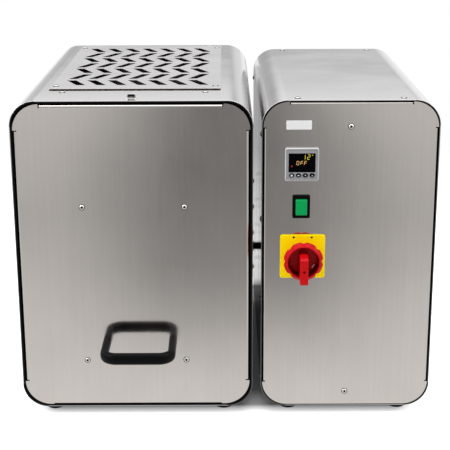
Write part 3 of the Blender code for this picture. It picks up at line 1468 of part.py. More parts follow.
def temperature_controller(frame):
    """The panel-mounted controller: a bezel with a window and four round keys, and its long body."""
    x, z, half = CONTROLS_X, CONTROLLER_Z, CONTROLLER_SIZE / 2
    front = CONTROL_PANEL_SETBACK - CONTROLLER_FRONT
    lip, back = front + CONTROLLER_LIP, CONTROL_PANEL_SETBACK - CLEAR
    outline = rounded_rectangle(x - half, x + half, z - half, z + half, CONTROLLER_CORNER, BEND_STEPS)
    case = slab("controller_case", frame, CASE_GREY, [outline], front, lip + SINK, FACING_FRONT)
    edge = half - CLEAR
    fuse(case, box("controller_collar", frame, None, (x - edge, lip, z - edge), (x + edge, back, z + edge)))
    body = CONTROLLER_BODY / 2
    rear = box(
        "controller_body",
        frame,
        None,
        (x - body, (lip + back) / 2, z - body),
        (x + body, CONTROLLER_BODY_DEPTH, z + body),
    )
    fuse(case, rear)
    middle, key_z = DISPLAY_Z, KEY_Z
    display_x, display_z = DISPLAY_WIDTH / 2, DISPLAY_HEIGHT / 2
    hole_x, hole_z = display_x + CLEAR, display_z + CLEAR
    window = box_shape((x - hole_x, front - OVERRUN, middle - hole_z), (x + hole_x, lip, middle + hole_z))
    holes = [window]
    for key_x in key_places():
        start, end = (key_x, front - OVERRUN, key_z), (key_x, lip, key_z)
        holes.append(rod_shape(start, end, KEY_RADIUS + CLEAR, steps=SMALL_STEPS))
    cut(case, finish(gather(holes), "controller_holes", frame, None))
    glass = front + DISPLAY_RECESS
    box(
        "controller_display",
        frame,
        DISPLAY,
        (x - display_x, glass, middle - display_z),
        (x + display_x, glass + DISPLAY_THICKNESS, middle + display_z),
    )
    for number, key_x in enumerate(key_places(), 1):
        rod(
            f"controller_key_{number}",
            frame,
            KEY_BLACK,
            (key_x, front - KEY_PROUD, key_z),
            (key_x, front - KEY_PROUD + KEY_LENGTH, key_z),
            KEY_RADIUS,
            steps=SMALL_STEPS,
            origin=(key_x, front, key_z),
        )


def push_switch(frame):
    """The lit push switch: a black frame through the panel, and a cap that slides in its pocket."""
    x, z = CONTROLS_X, PUSH_Z
    half_x, half_z = PUSH_BEZEL_WIDTH / 2, PUSH_BEZEL_HEIGHT / 2
    back = CONTROL_PANEL_SETBACK - CLEAR
    front = back - PUSH_BEZEL_THICKNESS
    sides = (x - half_x, x + half_x, z - half_z, z + half_z)
    outline = rounded_rectangle(*sides, PUSH_BEZEL_CORNER, BEND_STEPS)
    bezel = slab("push_switch_frame", frame, BLACK_PLASTIC, [outline], front, back, FACING_FRONT)
    body_x, body_z = PUSH_BODY_WIDTH / 2, PUSH_BODY_HEIGHT / 2
    body = box(
        "push_body",
        frame,
        None,
        (x - body_x, back - SINK, z - body_z),
        (x + body_x, PUSH_BODY_DEPTH, z + body_z),
    )
    fuse(bezel, body)
    cap_x, cap_z = PUSH_CAP_WIDTH / 2, PUSH_CAP_HEIGHT / 2
    hole_x, hole_z = cap_x + PUSH_CAP_GAP, cap_z + PUSH_CAP_GAP
    pocket = box(
        "push_pocket",
        frame,
        None,
        (x - hole_x, front - OVERRUN, z - hole_z),
        (x + hole_x, back + PUSH_POCKET_DEPTH, z + hole_z),
    )
    cut(bezel, pocket)
    face = CONTROL_PANEL_SETBACK - PUSH_CAP_PROUD
    sides = (x - cap_x, x + cap_x, z - cap_z, z + cap_z)
    cap_loop = rounded_rectangle(*sides, PUSH_CAP_CORNER, BEND_STEPS)
    cap = slab(
        "push_switch_cap",
        frame,
        GREEN,
        [cap_loop],
        face,
        face + PUSH_CAP_LENGTH,
        FACING_FRONT,
        (x, face, z),
    )
    return soften(cap, PUSH_CAP_CORNER / 2)


def switch_places():
    back = CONTROL_PANEL_SETBACK - CLEAR
    return back, back - SWITCH_PLATE_THICKNESS


def switch_plate(frame):
    x, z, half = MAIN_SWITCH_X, MAIN_SWITCH_Z, SWITCH_PLATE_SIZE / 2
    back, front = switch_places()
    loops = [
        rounded_rectangle(x - half, x + half, z - half, z + half, SWITCH_PLATE_CORNER, BEND_STEPS),
        circle(x, z, SHAFT_RADIUS + CUTOUT_GAP),
    ]
    for side in (-1, 1):
        dot_x, dot_z = x + side * SWITCH_DOT_X, z + half - SWITCH_DOT_INSET
        loops.append(circle(dot_x, dot_z, SWITCH_DOT_RADIUS, SMALL_STEPS))
    return slab("main_switch_plate", frame, YELLOW, loops, front, back, FACING_FRONT)


def switch_body(frame):
    x, z, half = MAIN_SWITCH_X, MAIN_SWITCH_Z, SWITCH_BODY_SIZE / 2
    start = CONTROL_PANEL_SETBACK + SHEET + CLEAR
    body = box(
        "main_switch_body",
        frame,
        DARK_PLASTIC,
        (x - half, start, z - half),
        (x + half, start + SWITCH_BODY_DEPTH, z + half),
    )
    shaft = rod("switch_shaft", frame, None, (x, start + OVERRUN, z), (x, -SHAFT_REACH, z), SHAFT_RADIUS)
    return fuse(body, shaft)


def knob_outline(x, z):
    """A round outline with a shallow scallop between each pair of lobes."""
    points = []
    for i in range(KNOB_STEPS):
        angle = math.tau * i / KNOB_STEPS
        dip = 1 - abs(math.sin(KNOB_LOBES / 2 * (angle - math.pi / 2)))
        radius = KNOB_RADIUS - KNOB_SCALLOP * dip**2
        points.append((x + radius * math.cos(angle), z + radius * math.sin(angle)))
    return points


def grip_outline(z):
    """The grip from the side: a sloped top, a flat front and a chamfered lower end."""
    floor, bottom = -KNOB_CUP_FLOOR + SINK, z - KNOB_RADIUS + GRIP_RIM_GAP
    return [
        (floor, z + GRIP_TOP),
        (-GRIP_FRONT + GRIP_CHAMFER * 2, z + GRIP_TOP),
        (-GRIP_FRONT, z + GRIP_SHOULDER),
        (-GRIP_FRONT, bottom + GRIP_CHAMFER),
        (-GRIP_FRONT + GRIP_CHAMFER, bottom),
        (-KNOB_BACK - SINK, bottom),
        (-KNOB_BACK - SINK, z),
        (floor, z),
    ]


def switch_knob(frame):
    """The turning knob: a scalloped cup with a tall grip across it."""
    x, z = MAIN_SWITCH_X, MAIN_SWITCH_Z
    origin = (x, -KNOB_BACK, z)
    knob = slab(
        "main_switch_knob", frame, RED, [knob_outline(x, z)], -KNOB_FRONT, -KNOB_BACK, FACING_FRONT, origin
    )
    cup = rod(
        "knob_cup",
        frame,
        None,
        (x, -KNOB_CUP_FLOOR, z),
        (x, -KNOB_FRONT - OVERRUN, z),
        KNOB_CUP_RADIUS,
        steps=ROUND_STEPS * 2,
    )
    cut(knob, cup)
    half = GRIP_WIDTH / 2
    grip = slab("knob_grip", frame, None, [grip_outline(z)], x - half, x + half, FACING_SIDE)
    fuse(knob, grip)
    start, end = (x, OVERRUN, z), (x, -SHAFT_REACH - CLEAR, z)
    cut(knob, rod("knob_bore", frame, None, start, end, SHAFT_RADIUS + CLEAR))
    low = z - GRIP_HOLE_DROP
    hole = rod(
        "knob_hole",
        frame,
        None,
        (x, -GRIP_FRONT - OVERRUN, low),
        (x, -GRIP_FRONT + GRIP_HOLE_DEPTH, low),
        GRIP_HOLE_RADIUS,
        steps=SMALL_STEPS,
    )
    return cut(knob, hole)


def control_chassis(frame):
    half = CONTROL_CHASSIS_WIDTH / 2
    return open_box(
        "control_chassis",
        frame,
        GALVANISED,
        (-half, CONTROL_CHASSIS_FRONT, CHASSIS_LOW),
        (half, CONTROL_CHASSIS_REAR, CHASSIS_LOW + CONTROL_CHASSIS_HEIGHT),
        2,
        1,
        CHASSIS_SHEET,
    )


def chassis_floor():
    return CHASSIS_LOW + CHASSIS_SHEET + CLEAR


def transformer(frame):
    """A laminated core with two windows, and the winding round its middle leg."""
    low, y = chassis_floor(), CORE_Y
    half, middle = CORE_WIDTH / 2, low + CORE_HEIGHT / 2
    leg, window = CORE_LEG / 2, CORE_HEIGHT / 2 - CORE_YOKE
    loops = [rectangle(-half, half, low, low + CORE_HEIGHT)]
    for side in (-1, 1):
        ends = sorted((side * leg, side * (leg + CORE_WINDOW_WIDTH)))
        loops.append(rectangle(*ends, middle - window, middle + window))
    stack = CORE_STACK / 2
    slab("transformer_core", frame, LAMINATION, loops, y - stack, y + stack, FACING_FRONT)
    gap = WINDING_GAP
    inner_x, inner_y = leg + gap, stack + gap
    outer_x, outer_y = inner_x + WINDING_THICKNESS, inner_y + WINDING_THICKNESS
    rings = [
        rounded_rectangle(-outer_x, outer_x, y - outer_y, y + outer_y, WINDING_CORNER, BEND_STEPS),
        rectangle(-inner_x, inner_x, y - inner_y, y + inner_y),
    ]
    base, top = middle - window + gap, middle + window - gap
    slab("transformer_winding", frame, COPPER, rings, base, top, FACING_TOP)


def power_stage(frame):
    """A finned heat sink that stands on the chassis with the power module on its face."""
    low, y = chassis_floor(), SINK_Y
    half, pitch = SINK_WIDTH / 2, (SINK_WIDTH - SINK_FIN_THICKNESS) / (SINK_FINS - 1)
    comb = [(half, y), (-half, y)]
    for fin in range(SINK_FINS):
        left = -half + fin * pitch
        right = left + SINK_FIN_THICKNESS
        comb += [(left, y + SINK_FIN_DEPTH), (right, y + SINK_FIN_DEPTH), (right, y + SINK_BASE)]
        if fin < SINK_FINS - 1:
            comb.append((left + pitch, y + SINK_BASE))
    comb.pop()
    sink = slab("power_stage", frame, ALUMINIUM, [comb], low, low + SINK_HEIGHT, FACING_TOP)
    middle = low + SINK_HEIGHT / 2
    module = box(
        "power_module",
        frame,
        None,
        (-MODULE_WIDTH / 2, y - MODULE_DEPTH, middle - MODULE_HEIGHT / 2),
        (MODULE_WIDTH / 2, y + SINK, middle + MODULE_HEIGHT / 2),
    )
    return fuse(sink, module)


def contactor(frame):
    """A stepped block: lower at both terminal sides."""
    low, y = chassis_floor(), CONTACTOR_Y
    high, half = low + CONTACTOR_HEIGHT, CONTACTOR_DEPTH / 2
    step = CONTACTOR_STEP
    outline = [
        (-half, low),
        (half, low),
        (half, high - step),
        (half - step, high - step),
        (half - step, high),
        (step - half, high),
        (step - half, high - step),
        (-half, high - step),
    ]
    width = CONTACTOR_WIDTH / 2
    block = [(y + u, v) for u, v in outline]
    return slab("contactor", frame, DARK_PLASTIC, [block], -width, width, FACING_SIDE)


def interconnect_duct(frame):
    """The hollow duct for the leads between the cabinets, with a collar at each wall."""
    wall = FURNACE_WIDTH / 2
    start, end = wall - SHEET - DUCT_INSIDE, wall + CABINET_GAP + SHEET + DUCT_INSIDE
    first, last = wall + CLEAR, wall + CABINET_GAP - CLEAR
    radius, collar, bore = DUCT_RADIUS, DUCT_COLLAR_RADIUS, DUCT_BORE
    length = end - start
    outer = [
        (bore, length),
        (radius, length),
        (radius, last - start),
        (collar, last - start),
        (collar, last - DUCT_COLLAR - start),
        (radius, last - DUCT_COLLAR - start),
        (radius, first + DUCT_COLLAR - start),
        (collar, first + DUCT_COLLAR - start),
        (collar, first - start),
        (radius, first - start),
        (radius, 0),
        (bore, 0),
        (bore, length),
    ]
    place = (start, DUCT_Y, DUCT_Z)
    return turned(
        "interconnect_duct", frame, BLACK_RUBBER, outer, place, (0, math.radians(90), 0), SMALL_STEPS
    )


clear_scene()
PARTS = new_collection("dental_lab_furnace", True)
CUTTERS = new_collection("cutters", False)

STEEL = material("brushed_steel", (0.56, 0.55, 0.53), 0.32, 1.0)
VENT_STEEL = material("vent_steel", (0.62, 0.61, 0.60), 0.30, 1.0)
POLISHED = material("polished_steel", (0.72, 0.72, 0.72), 0.15, 1.0)
DARK_STEEL = material("black_painted_steel", (0.02, 0.02, 0.02), 0.55)
GALVANISED = material("galvanised_steel", (0.55, 0.56, 0.57), 0.42, 1.0)
ALUMINIUM = material("aluminium", (0.75, 0.75, 0.76), 0.35, 1.0)
REFRACTORY = material("refractory_board", (0.86, 0.84, 0.78), 0.95)
CERAMIC = material("hearth_ceramic", (0.80, 0.77, 0.70), 0.80)
ELEMENT = material("element_rod", (0.16, 0.15, 0.15), 0.45, 0.6)
LAMINATION = material("lamination", (0.18, 0.17, 0.17), 0.60, 0.7)
COPPER = material("varnished_winding", (0.45, 0.19, 0.07), 0.40, 0.3)
BLACK_RUBBER = material("black_rubber", (0.012, 0.012, 0.013), 0.70)
BLACK_PLASTIC = material("black_plastic", (0.013, 0.013, 0.015), 0.38)
DARK_PLASTIC = material("dark_plastic", (0.045, 0.048, 0.052), 0.50)
CASE_GREY = material("controller_plastic", (0.42, 0.44, 0.47), 0.45)
KEY_BLACK = material("key_black", (0.03, 0.03, 0.035), 0.45)
DISPLAY = material("display_window", (0.008, 0.008, 0.009), 0.12)
GREEN = material("green_cap", (0.0, 0.36, 0.11), 0.30, glow=0.15)
YELLOW = material("yellow_plate", (0.92, 0.64, 0.0), 0.45)
RED = material("red_knob", (0.62, 0.01, 0.01), 0.38)

FURNACE = cabinet_frame("furnace_frame", FURNACE_X)
CONTROL = cabinet_frame("control_frame", CONTROL_X)

furnace_shell(FURNACE)
vent_plate(FURNACE)
door_catch(FURNACE)
door_seal(FURNACE)
front_bulkhead(FURNACE)
furnace_rear_panel(FURNACE)
furnace_chassis(FURNACE)
inner_casing(FURNACE)
lining_boards(FURNACE)
hearth_plate(FURNACE)
elements_and_straps(FURNACE)
thermocouple(FURNACE)
pivot_bracket("pivot_bracket_left", FURNACE, -1)
pivot_bracket("pivot_bracket_right", FURNACE, 1)
swing_frame(FURNACE)
lower_arm("lower_arm_left", FURNACE, -1)
lower_arm("lower_arm_right", FURNACE, 1)
door_panel(FURNACE)
door_carrier(FURNACE)
door_insulation(FURNACE)
door_handle(FURNACE)
feet("furnace", FURNACE, FURNACE_WIDTH, FURNACE_DEPTH)
interconnect_duct(FURNACE)

control_shell(CONTROL)
control_front_panel(CONTROL)
control_rear_panel(CONTROL)
mains_inlet(CONTROL)
temperature_controller(CONTROL)
push_switch(CONTROL)
switch_plate(CONTROL)
switch_body(CONTROL)
switch_knob(CONTROL)
control_chassis(CONTROL)
transformer(CONTROL)
power_stage(CONTROL)
contactor(CONTROL)
feet("control", CONTROL, CONTROL_WIDTH, CONTROL_DEPTH)
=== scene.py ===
"""Looks of the dental laboratory furnace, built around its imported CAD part. Metres throughout."""

import math

import bmesh
import bpy
from mathutils import Matrix, Vector


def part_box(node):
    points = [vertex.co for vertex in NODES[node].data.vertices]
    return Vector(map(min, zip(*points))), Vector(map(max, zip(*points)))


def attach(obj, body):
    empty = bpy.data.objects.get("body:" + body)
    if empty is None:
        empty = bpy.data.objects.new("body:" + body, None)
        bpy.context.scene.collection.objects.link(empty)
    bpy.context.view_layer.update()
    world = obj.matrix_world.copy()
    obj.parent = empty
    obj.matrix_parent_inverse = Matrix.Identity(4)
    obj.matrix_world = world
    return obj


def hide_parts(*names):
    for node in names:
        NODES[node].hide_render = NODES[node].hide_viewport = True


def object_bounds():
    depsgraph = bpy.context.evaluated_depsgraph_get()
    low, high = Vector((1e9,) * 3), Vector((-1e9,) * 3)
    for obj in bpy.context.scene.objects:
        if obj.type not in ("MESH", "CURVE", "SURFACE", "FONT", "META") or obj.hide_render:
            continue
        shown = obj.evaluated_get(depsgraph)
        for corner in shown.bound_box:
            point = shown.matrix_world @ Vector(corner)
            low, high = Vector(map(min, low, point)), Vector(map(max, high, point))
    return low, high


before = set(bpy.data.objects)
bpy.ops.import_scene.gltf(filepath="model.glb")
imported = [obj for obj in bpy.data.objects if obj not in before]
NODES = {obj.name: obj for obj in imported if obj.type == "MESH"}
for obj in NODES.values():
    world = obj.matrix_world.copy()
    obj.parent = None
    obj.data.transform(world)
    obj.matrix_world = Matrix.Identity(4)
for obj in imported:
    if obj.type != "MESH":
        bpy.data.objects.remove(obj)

CAD_LOW, CAD_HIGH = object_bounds()

# Sizes the frame's boxes don't give by themselves
SHEET = 0.0015
SCREW_HEIGHT = 0.0019
CORNER = 0.037
EDGE = 0.0004
PROUD = 0.0001
WELD = 0.000001
SAME_PLANE = math.radians(0.5)
CORNER_STEPS = 20
CUT = 0.005
QUARTER = math.pi / 2
GRAIN = "grain"

shell_low, shell_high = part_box("furnace_shell")
FURNACE_LEFT = shell_low.x + SCREW_HEIGHT
FURNACE_RIGHT = shell_high.x - SCREW_HEIGHT
FRONT = shell_low.y
FURNACE_BACK = shell_high.y
SHELL_LOW = shell_low.z
SHELL_HIGH = shell_high.z - SCREW_HEIGHT
shell_low, shell_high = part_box("control_shell")
CONTROL_LEFT = shell_low.x + SCREW_HEIGHT
CONTROL_RIGHT = shell_high.x - SCREW_HEIGHT
CONTROL_BACK = shell_high.y
FURNACE_X = (FURNACE_LEFT + FURNACE_RIGHT) / 2
CONTROL_X = (CONTROL_LEFT + CONTROL_RIGHT) / 2
HEIGHT = SHELL_HIGH - SHELL_LOW


class Box:
    """A CAD node's box at rest: its corners, its centre and its half sizes."""

    def __init__(self, node):
        self.low, self.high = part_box(node)
        self.x, self.y, self.z = [(a + b) / 2 for a, b in zip(self.low, self.high)]
        self.half_x, self.half_y, self.half_z = [(b - a) / 2 for a, b in zip(self.low, self.high)]


# Shapes


def mesh_of(bm, name="part"):
    """A mesh made from a bmesh, which is then freed."""
    mesh = bpy.data.meshes.new(name)
    bm.to_mesh(mesh)
    bm.free()
    return mesh


def added(name, data):
    obj = bpy.data.objects.new(name, data)
    bpy.context.scene.collection.objects.link(obj)
    return obj


def rounded(half_x, half_z, radius, steps=CORNER_STEPS):
    """A rounded rectangle about the origin, counter-clockwise."""
    points = []
    corners = ((1, 1), (-1, 1), (-1, -1), (1, -1))
    for number, (sx, sz) in enumerate(corners):
        x, z = sx * (half_x - radius), sz * (half_z - radius)
        for step in range(steps + 1):
            angle = (number + step / steps) * QUARTER
            points.append((x + radius * math.cos(angle), z + radius * math.sin(angle)))
    return points


def ring(radius, steps=48):
    angles = [math.tau * step / steps for step in range(steps)]
    return [(radius * math.cos(angle), radius * math.sin(angle)) for angle in angles]


def loft(rings, closed=False):
    """Rings of equal length joined into one skin, closed on itself or capped at its ends."""
    bm = bmesh.new()
    rows = [[bm.verts.new(point) for point in row] for row in rings]
    pairs = list(zip(rows, rows[1:]))
    if closed:
        pairs.append((rows[-1], rows[0]))
    for first, second in pairs:
        for i in range(len(first)):
            j = (i + 1) % len(first)
            bm.faces.new((first[i], first[j], second[j], second[i]))
    if not closed:
        bm.faces.new(rows[0])
        bm.faces.new(rows[-1])
    bmesh.ops.recalc_face_normals(bm, faces=bm.faces)
    return bm


def stack(centre, outline, profile, closed=False):
    """Outlines in X and Z, one per (y, inset) of the profile: outline(inset) gives the points."""
    x, z = centre
    rings = [[(x + a, y, z + b) for a, b in outline(inset)] for y, inset in profile]
    return loft(rings, closed)


def plate_outline(half_x, half_z, radius, steps=6):
    least = 0.00005
    return lambda inset: rounded(half_x - inset, half_z - inset, max(radius - inset, least), steps)


def slab(x, z, half_x, half_z, radius, profile, steps=6):
    return stack((x, z), plate_outline(half_x, half_z, radius, steps), profile)


def turned(profile, steps=32):
    """(radius, height) points turned about Z; a zero radius closes to a point."""
    bm = loft([[(x, y, height) for x, y in ring(max(radius, WELD), steps)] for radius, height in profile])
    bmesh.ops.remove_doubles(bm, verts=bm.verts, dist=WELD * 3)
    return bm


def block(low, high):
    bm = bmesh.new()
    middle = [(a + b) / 2 for a, b in zip(low, high)]
    size = [b - a for a, b in zip(low, high)]
    bmesh.ops.create_cube(bm, size=1, matrix=Matrix.Translation(middle) @ Matrix.Diagonal((*size, 1)))
    return bm


def rod(start, end, radius, steps=32):
    start, end = Vector(start), Vector(end)
    bm = bmesh.new()
    bmesh.ops.create_cone(
        bm, cap_ends=True, segments=steps, radius1=radius, radius2=radius, depth=(end - start).length,
    )
    turn = (end - start).to_track_quat("Z", "Y").to_matrix().to_4x4()
    bm.transform(Matrix.Translation((start + end) / 2) @ turn)
    return bm


def extruded(points, low, high, axis="X"):
    """An outline in Y and Z pulled along X, or one in X and Z pulled along Y."""
    if axis == "X":
        return loft([[(depth, a, b) for a, b in points] for depth in (low, high)])
    return loft([[(a, depth, b) for a, b in points] for depth in (low, high)])


def gather(shapes):
    """Several bmeshes as one."""
    whole = bmesh.new()
    for shape in shapes:
        mesh = mesh_of(shape)
        whole.from_mesh(mesh)
        bpy.data.meshes.remove(mesh)
    return whole


def changed(shapes, kind, **settings):
    """The first shape after one modifier; a second shape is the modifier's other object."""
    objects = [added("carving", mesh_of(shape)) for shape in shapes]
    change = objects[0].modifiers.new("change", kind)
    for key, value in settings.items():
        setattr(change, key, value)
    if len(objects) > 1:
        change.object = objects[1]
    bpy.context.view_layer.update()
    graph = bpy.context.evaluated_depsgraph_get()
    made = bpy.data.meshes.new_from_object(objects[0].evaluated_get(graph))
    result = bmesh.new()
    result.from_mesh(made)
    bpy.data.meshes.remove(made)
    for obj in objects:
        mesh = obj.data
        bpy.data.objects.remove(obj, do_unlink=True)
        bpy.data.meshes.remove(mesh)
    return result


def carved(body, tool, operation="DIFFERENCE"):
    """The body with the tool's solid taken away from it, or joined to it."""
    return changed((body, tool), "BOOLEAN", operation=operation, solver="EXACT")


def bevelled(bm, width, segments=2, angle=math.radians(30)):
    """Every edge sharper than the angle, rounded."""
    bm.normal_update()
    sharp = [e for e in bm.edges if len(e.link_faces) == 2 and e.calc_face_angle(0) > angle]
    bmesh.ops.bevel(
        bm, geom=sharp, offset=width, offset_type="OFFSET", segments=segments, profile=0.5, affect="EDGES",
        clamp_overlap=True,
    )
    return bm


def ovals(x, z, half_x, half_z, levels, steps=32):
    """An oval rod along Y, with one (y, share of its size) for each level."""
    rings = []
    for y, share in levels:
        rings.append([(x + a * half_x * share, y, z + b * half_z * share) for a, b in ring(1, steps)])
    return loft(rings)


def from_node(node, plane=None):
    """A copy of a CAD node's mesh, welded, with what stands off a plane (axis, level, side) cut away."""
    bm = bmesh.new()
    bm.from_mesh(NODES[node].data)
    bmesh.ops.remove_doubles(bm, verts=bm.verts, dist=WELD)
    if plane:
        axis, level, side = plane
        off = [v for v in bm.verts if (v.co[axis] - level) * side > EDGE / 8]
        bmesh.ops.delete(bm, geom=off, context="VERTS")
        rims = [e for e in bm.edges if e.is_boundary]
        bmesh.ops.holes_fill(bm, edges=rims, sides=0)
    bmesh.ops.dissolve_limit(bm, angle_limit=SAME_PLANE, verts=bm.verts, edges=bm.edges)
    bmesh.ops.recalc_face_normals(bm, faces=bm.faces)
    return bm


# Pieces


def flat_grain(co, normal):
    """Places in metres for a flat sheet, by the way the face looks."""
    tie = 0.1
    if abs(normal.y) >= max(abs(normal.x), abs(normal.z)) - tie:
        return co.x, co.z
    if abs(normal.z) > abs(normal.x):
        return co.x, co.y
    return co.y, co.z


def loop_grain(middle, half):
    """Places for a cabinet's shell: across the grain in depth, along the grain round its outline."""
    inner, top, low = half - CORNER, SHELL_HIGH - CORNER, SHELL_LOW + CORNER
    bend = CORNER * QUARTER

    def place(co, normal):
        x, z = co.x - middle, co.z
        reach = abs(x)
        if reach <= inner and z > (top + low) / 2:
            along = reach
        elif z > top:
            along = inner + CORNER * math.atan2(reach - inner, z - top)
        elif z > low:
            along = inner + bend + top - z
        elif reach > inner:
            along = inner + bend + top - low + CORNER * math.atan2(low - z, reach - inner)
        else:
            along = inner + bend * 2 + top - low + inner - reach
        return co.y, math.copysign(along, x)

    return place


def piece(name, bm, paint, body, nodes=(), grain=None, sharp=35.0, weighted=True, inside=None):
    """A bmesh as a smooth-shaded piece that rides on a body and stands for CAD nodes.

    inside is a second paint, and the rule of a face's middle and normal that says which faces take it."""
    bm.normal_update()
    if inside:
        for face in bm.faces:
            face.material_index = int(inside[1](face.calc_center_median(), face.normal))
    mesh = mesh_of(bm, name)
    for old in {"custom_normal", "sharp_face"} & set(mesh.attributes.keys()):
        mesh.attributes.remove(mesh.attributes[old])
    mesh.materials.append(paint)
    if inside:
        mesh.materials.append(inside[0])
    mesh.shade_smooth()
    mesh.set_sharp_from_angle(angle=math.radians(sharp))
    if grain:
        while mesh.uv_layers:
            mesh.uv_layers.remove(mesh.uv_layers[0])
        layer = mesh.uv_layers.new(name=GRAIN)
        for polygon in mesh.polygons:
            for index in polygon.loop_indices:
                co = mesh.vertices[mesh.loops[index].vertex_index].co
                layer.data[index].uv = grain(co, polygon.normal)
    obj = added(name, mesh)
    if weighted:
        obj.modifiers.new("weighted", "WEIGHTED_NORMAL").keep_sharp = True
    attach(obj, body)
    if nodes:
        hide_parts(*nodes)
    return obj


# Materials

CORE = (0.3, 0.7)


class Nodes:
    """Short calls for the nodes of one tree.

    Scales are in cells per metre, and most of a noise's values lie in CORE."""

    def __init__(self, tree):
        self.tree = tree

    def put(self, node, key, value):
        """Sets a socket, by its number or its name in any case, to a value or from a node's output."""
        if isinstance(key, int):
            socket = node.inputs[key]
        else:
            socket = next(s for s in node.inputs if s.name.lower() == key.lower())
        if isinstance(value, bpy.types.NodeSocket):
            self.tree.links.new(value, socket)
        else:
            socket.default_value = value

    def node(self, kind, inputs=None, **settings):
        made = self.tree.nodes.new("ShaderNode" + kind)
        for key, value in settings.items():
            setattr(made, key, value)
        for key, value in (inputs or {}).items():
            self.put(made, key, value)
        return made

    def place(self, scale, grain=False):
        """Object places, or a grain map's, times one scale or one for each axis."""
        if grain:
            source = self.node("UVMap", uv_map=GRAIN).outputs[0]
        else:
            source = self.node("TexCoord").outputs["Object"]
        scale = scale if isinstance(scale, tuple) else (scale,) * 3
        return self.node("Mapping", {"Vector": source, "Scale": scale}).outputs[0]

    def noise(self, scale, detail=3.0, rough=0.6, grain=False):
        inputs = {"Vector": self.place(scale, grain), "Scale": 1.0, "Detail": detail, "Roughness": rough}
        return self.node("TexNoise", inputs).outputs[0]

    def cells(self, scale, output="Distance"):
        return self.node("TexVoronoi", {"Vector": self.place(scale), "Scale": 1.0}).outputs[output]

    def wave(self, scale, distortion, direction):
        inputs = {"Vector": self.place(1), "Scale": scale, "Distortion": distortion}
        return self.node("TexWave", inputs, bands_direction=direction).outputs[0]

    def span(self, value, low, high, start=0.0, end=1.0):
        """A value from start..end, spread over low..high."""
        inputs = {"Value": value, "From Min": start, "From Max": end, "To Min": low, "To Max": high}
        return self.node("MapRange", inputs).outputs[0]

    def ramp(self, value, stops):
        """A grey tone read from (place, tone) stops."""
        made = self.node("ValToRGB", {"Fac": value})
        elements = made.color_ramp.elements
        while len(elements) < len(stops):
            elements.new(1.0)
        for element, (place, tone) in zip(elements, stops):
            element.position = place
            element.color = (tone, tone, tone, 1)
        return made.outputs[0]

    def sum(self, first, second, operation="ADD"):
        return self.node("Math", {0: first, 1: second}, operation=operation).outputs[0]

    def aside(self, value, middle=0.0):
        """How far a value is from the middle."""
        return self.sum(self.sum(value, -middle), 0.0, "ABSOLUTE")

    def mix(self, first, second, share, ends=(0.0, 1.0)):
        """Two values as one from 0 to 1, of which the first makes up a share."""
        return self.sum(self.span(first, 0, share, *ends), self.span(second, 0, 1 - share, *ends))

    def blend(self, share, first, second):
        return self.node("Mix", {0: share, 6: first, 7: second}, data_type="RGBA").outputs[2]

    def shade(self, value, colour, low, high):
        """A colour made darker or lighter by a value from 0 to 1."""
        return self.blend(value, (*[c * low for c in colour], 1), (*[c * high for c in colour], 1))

    def bump(self, height, strength, distance, under=None):
        inputs = {"Height": height, "Strength": strength, "Distance": distance}
        if under is not None:
            inputs["Normal"] = under
        return self.node("Bump", inputs).outputs[0]


class Paint(Nodes):
    """A material with one Principled shader."""

    def __init__(self, name, **settings):
        self.material = bpy.data.materials.new(name)
        self.material.use_nodes = True
        super().__init__(self.material.node_tree)
        self.shader = self.tree.nodes["Principled BSDF"]
        self.set(**settings)

    def set(self, **sockets):
        for key, value in sockets.items():
            self.put(self.shader, key.replace("_", " "), value)
        return self.material

    def finish(self, base, rough, normal):
        return self.set(Base_Color=base, Roughness=rough, Normal=normal)


def brushed(name, colour, roughness, anisotropy, streak, seed=0.0):
    """Brushed stainless steel: fine scratches along V of the grain map, broad streaks, faint smears."""
    p = Paint(name, Metallic=1.0, Anisotropic=anisotropy)
    scratches, streaks, smears = (1500, 11, 1), (210, 2.2, 1), (9 + seed, 6, 1)
    fine = p.noise(scratches, grain=True)
    broad = p.noise(streaks, 2.0, 0.55, grain=True)
    smear = p.noise(smears, grain=True)
    half, grit = streak / 2, 0.035
    lines = p.sum(p.span(fine, -half, half), p.span(broad, -half, half))
    tone = p.sum(p.sum(lines, p.span(smear, -half, half, *CORE)), 0.5)
    rough = p.sum(p.span(fine, roughness - grit, roughness + grit), p.span(smear, -0.02, 0.03, 0.35, 0.7))
    p.set(Tangent=p.node("Tangent", direction_type="UV_MAP", uv_map=GRAIN).outputs[0])
    return p.finish(p.shade(tone, colour, 0.5, 1.5), rough, p.bump(p.sum(fine, broad), 0.06, 0.0002))


def rolled(name, colour, roughness, streak, scale):
    """Plain sheet metal without a grain map: soft rolling streaks and smears on object places."""
    p = Paint(name, Metallic=1.0)
    fine, smear = p.noise(scale), p.noise(14)
    base = p.shade(p.mix(fine, smear, 0.6), colour, 1 - streak, 1 + streak)
    rough = p.span(smear, roughness - 0.05, roughness + 0.08, *CORE)
    return p.finish(base, rough, p.bump(fine, 0.08, 0.0003))


def moulded(name, colour, roughness, grit, depth, gloss=0.5, spread=0.06):
    """Moulded plastic, rubber or powder paint: a fine orange-peel, slight unevenness and dust.

    grit is the scale of the peel, and depth is its height in metres."""
    p = Paint(name, Specular_IOR_Level=gloss)
    peel, cloud = p.noise(grit, 2.0, 0.5), p.noise(22)
    tone = p.sum(p.span(peel, 0, 0.5), p.span(cloud, 0, 0.5, *CORE))
    rough = p.span(cloud, roughness - 0.05, roughness + 0.07, *CORE)
    return p.finish(p.shade(tone, colour, 1 - spread, 1 + spread), rough, p.bump(peel, 0.25, depth))


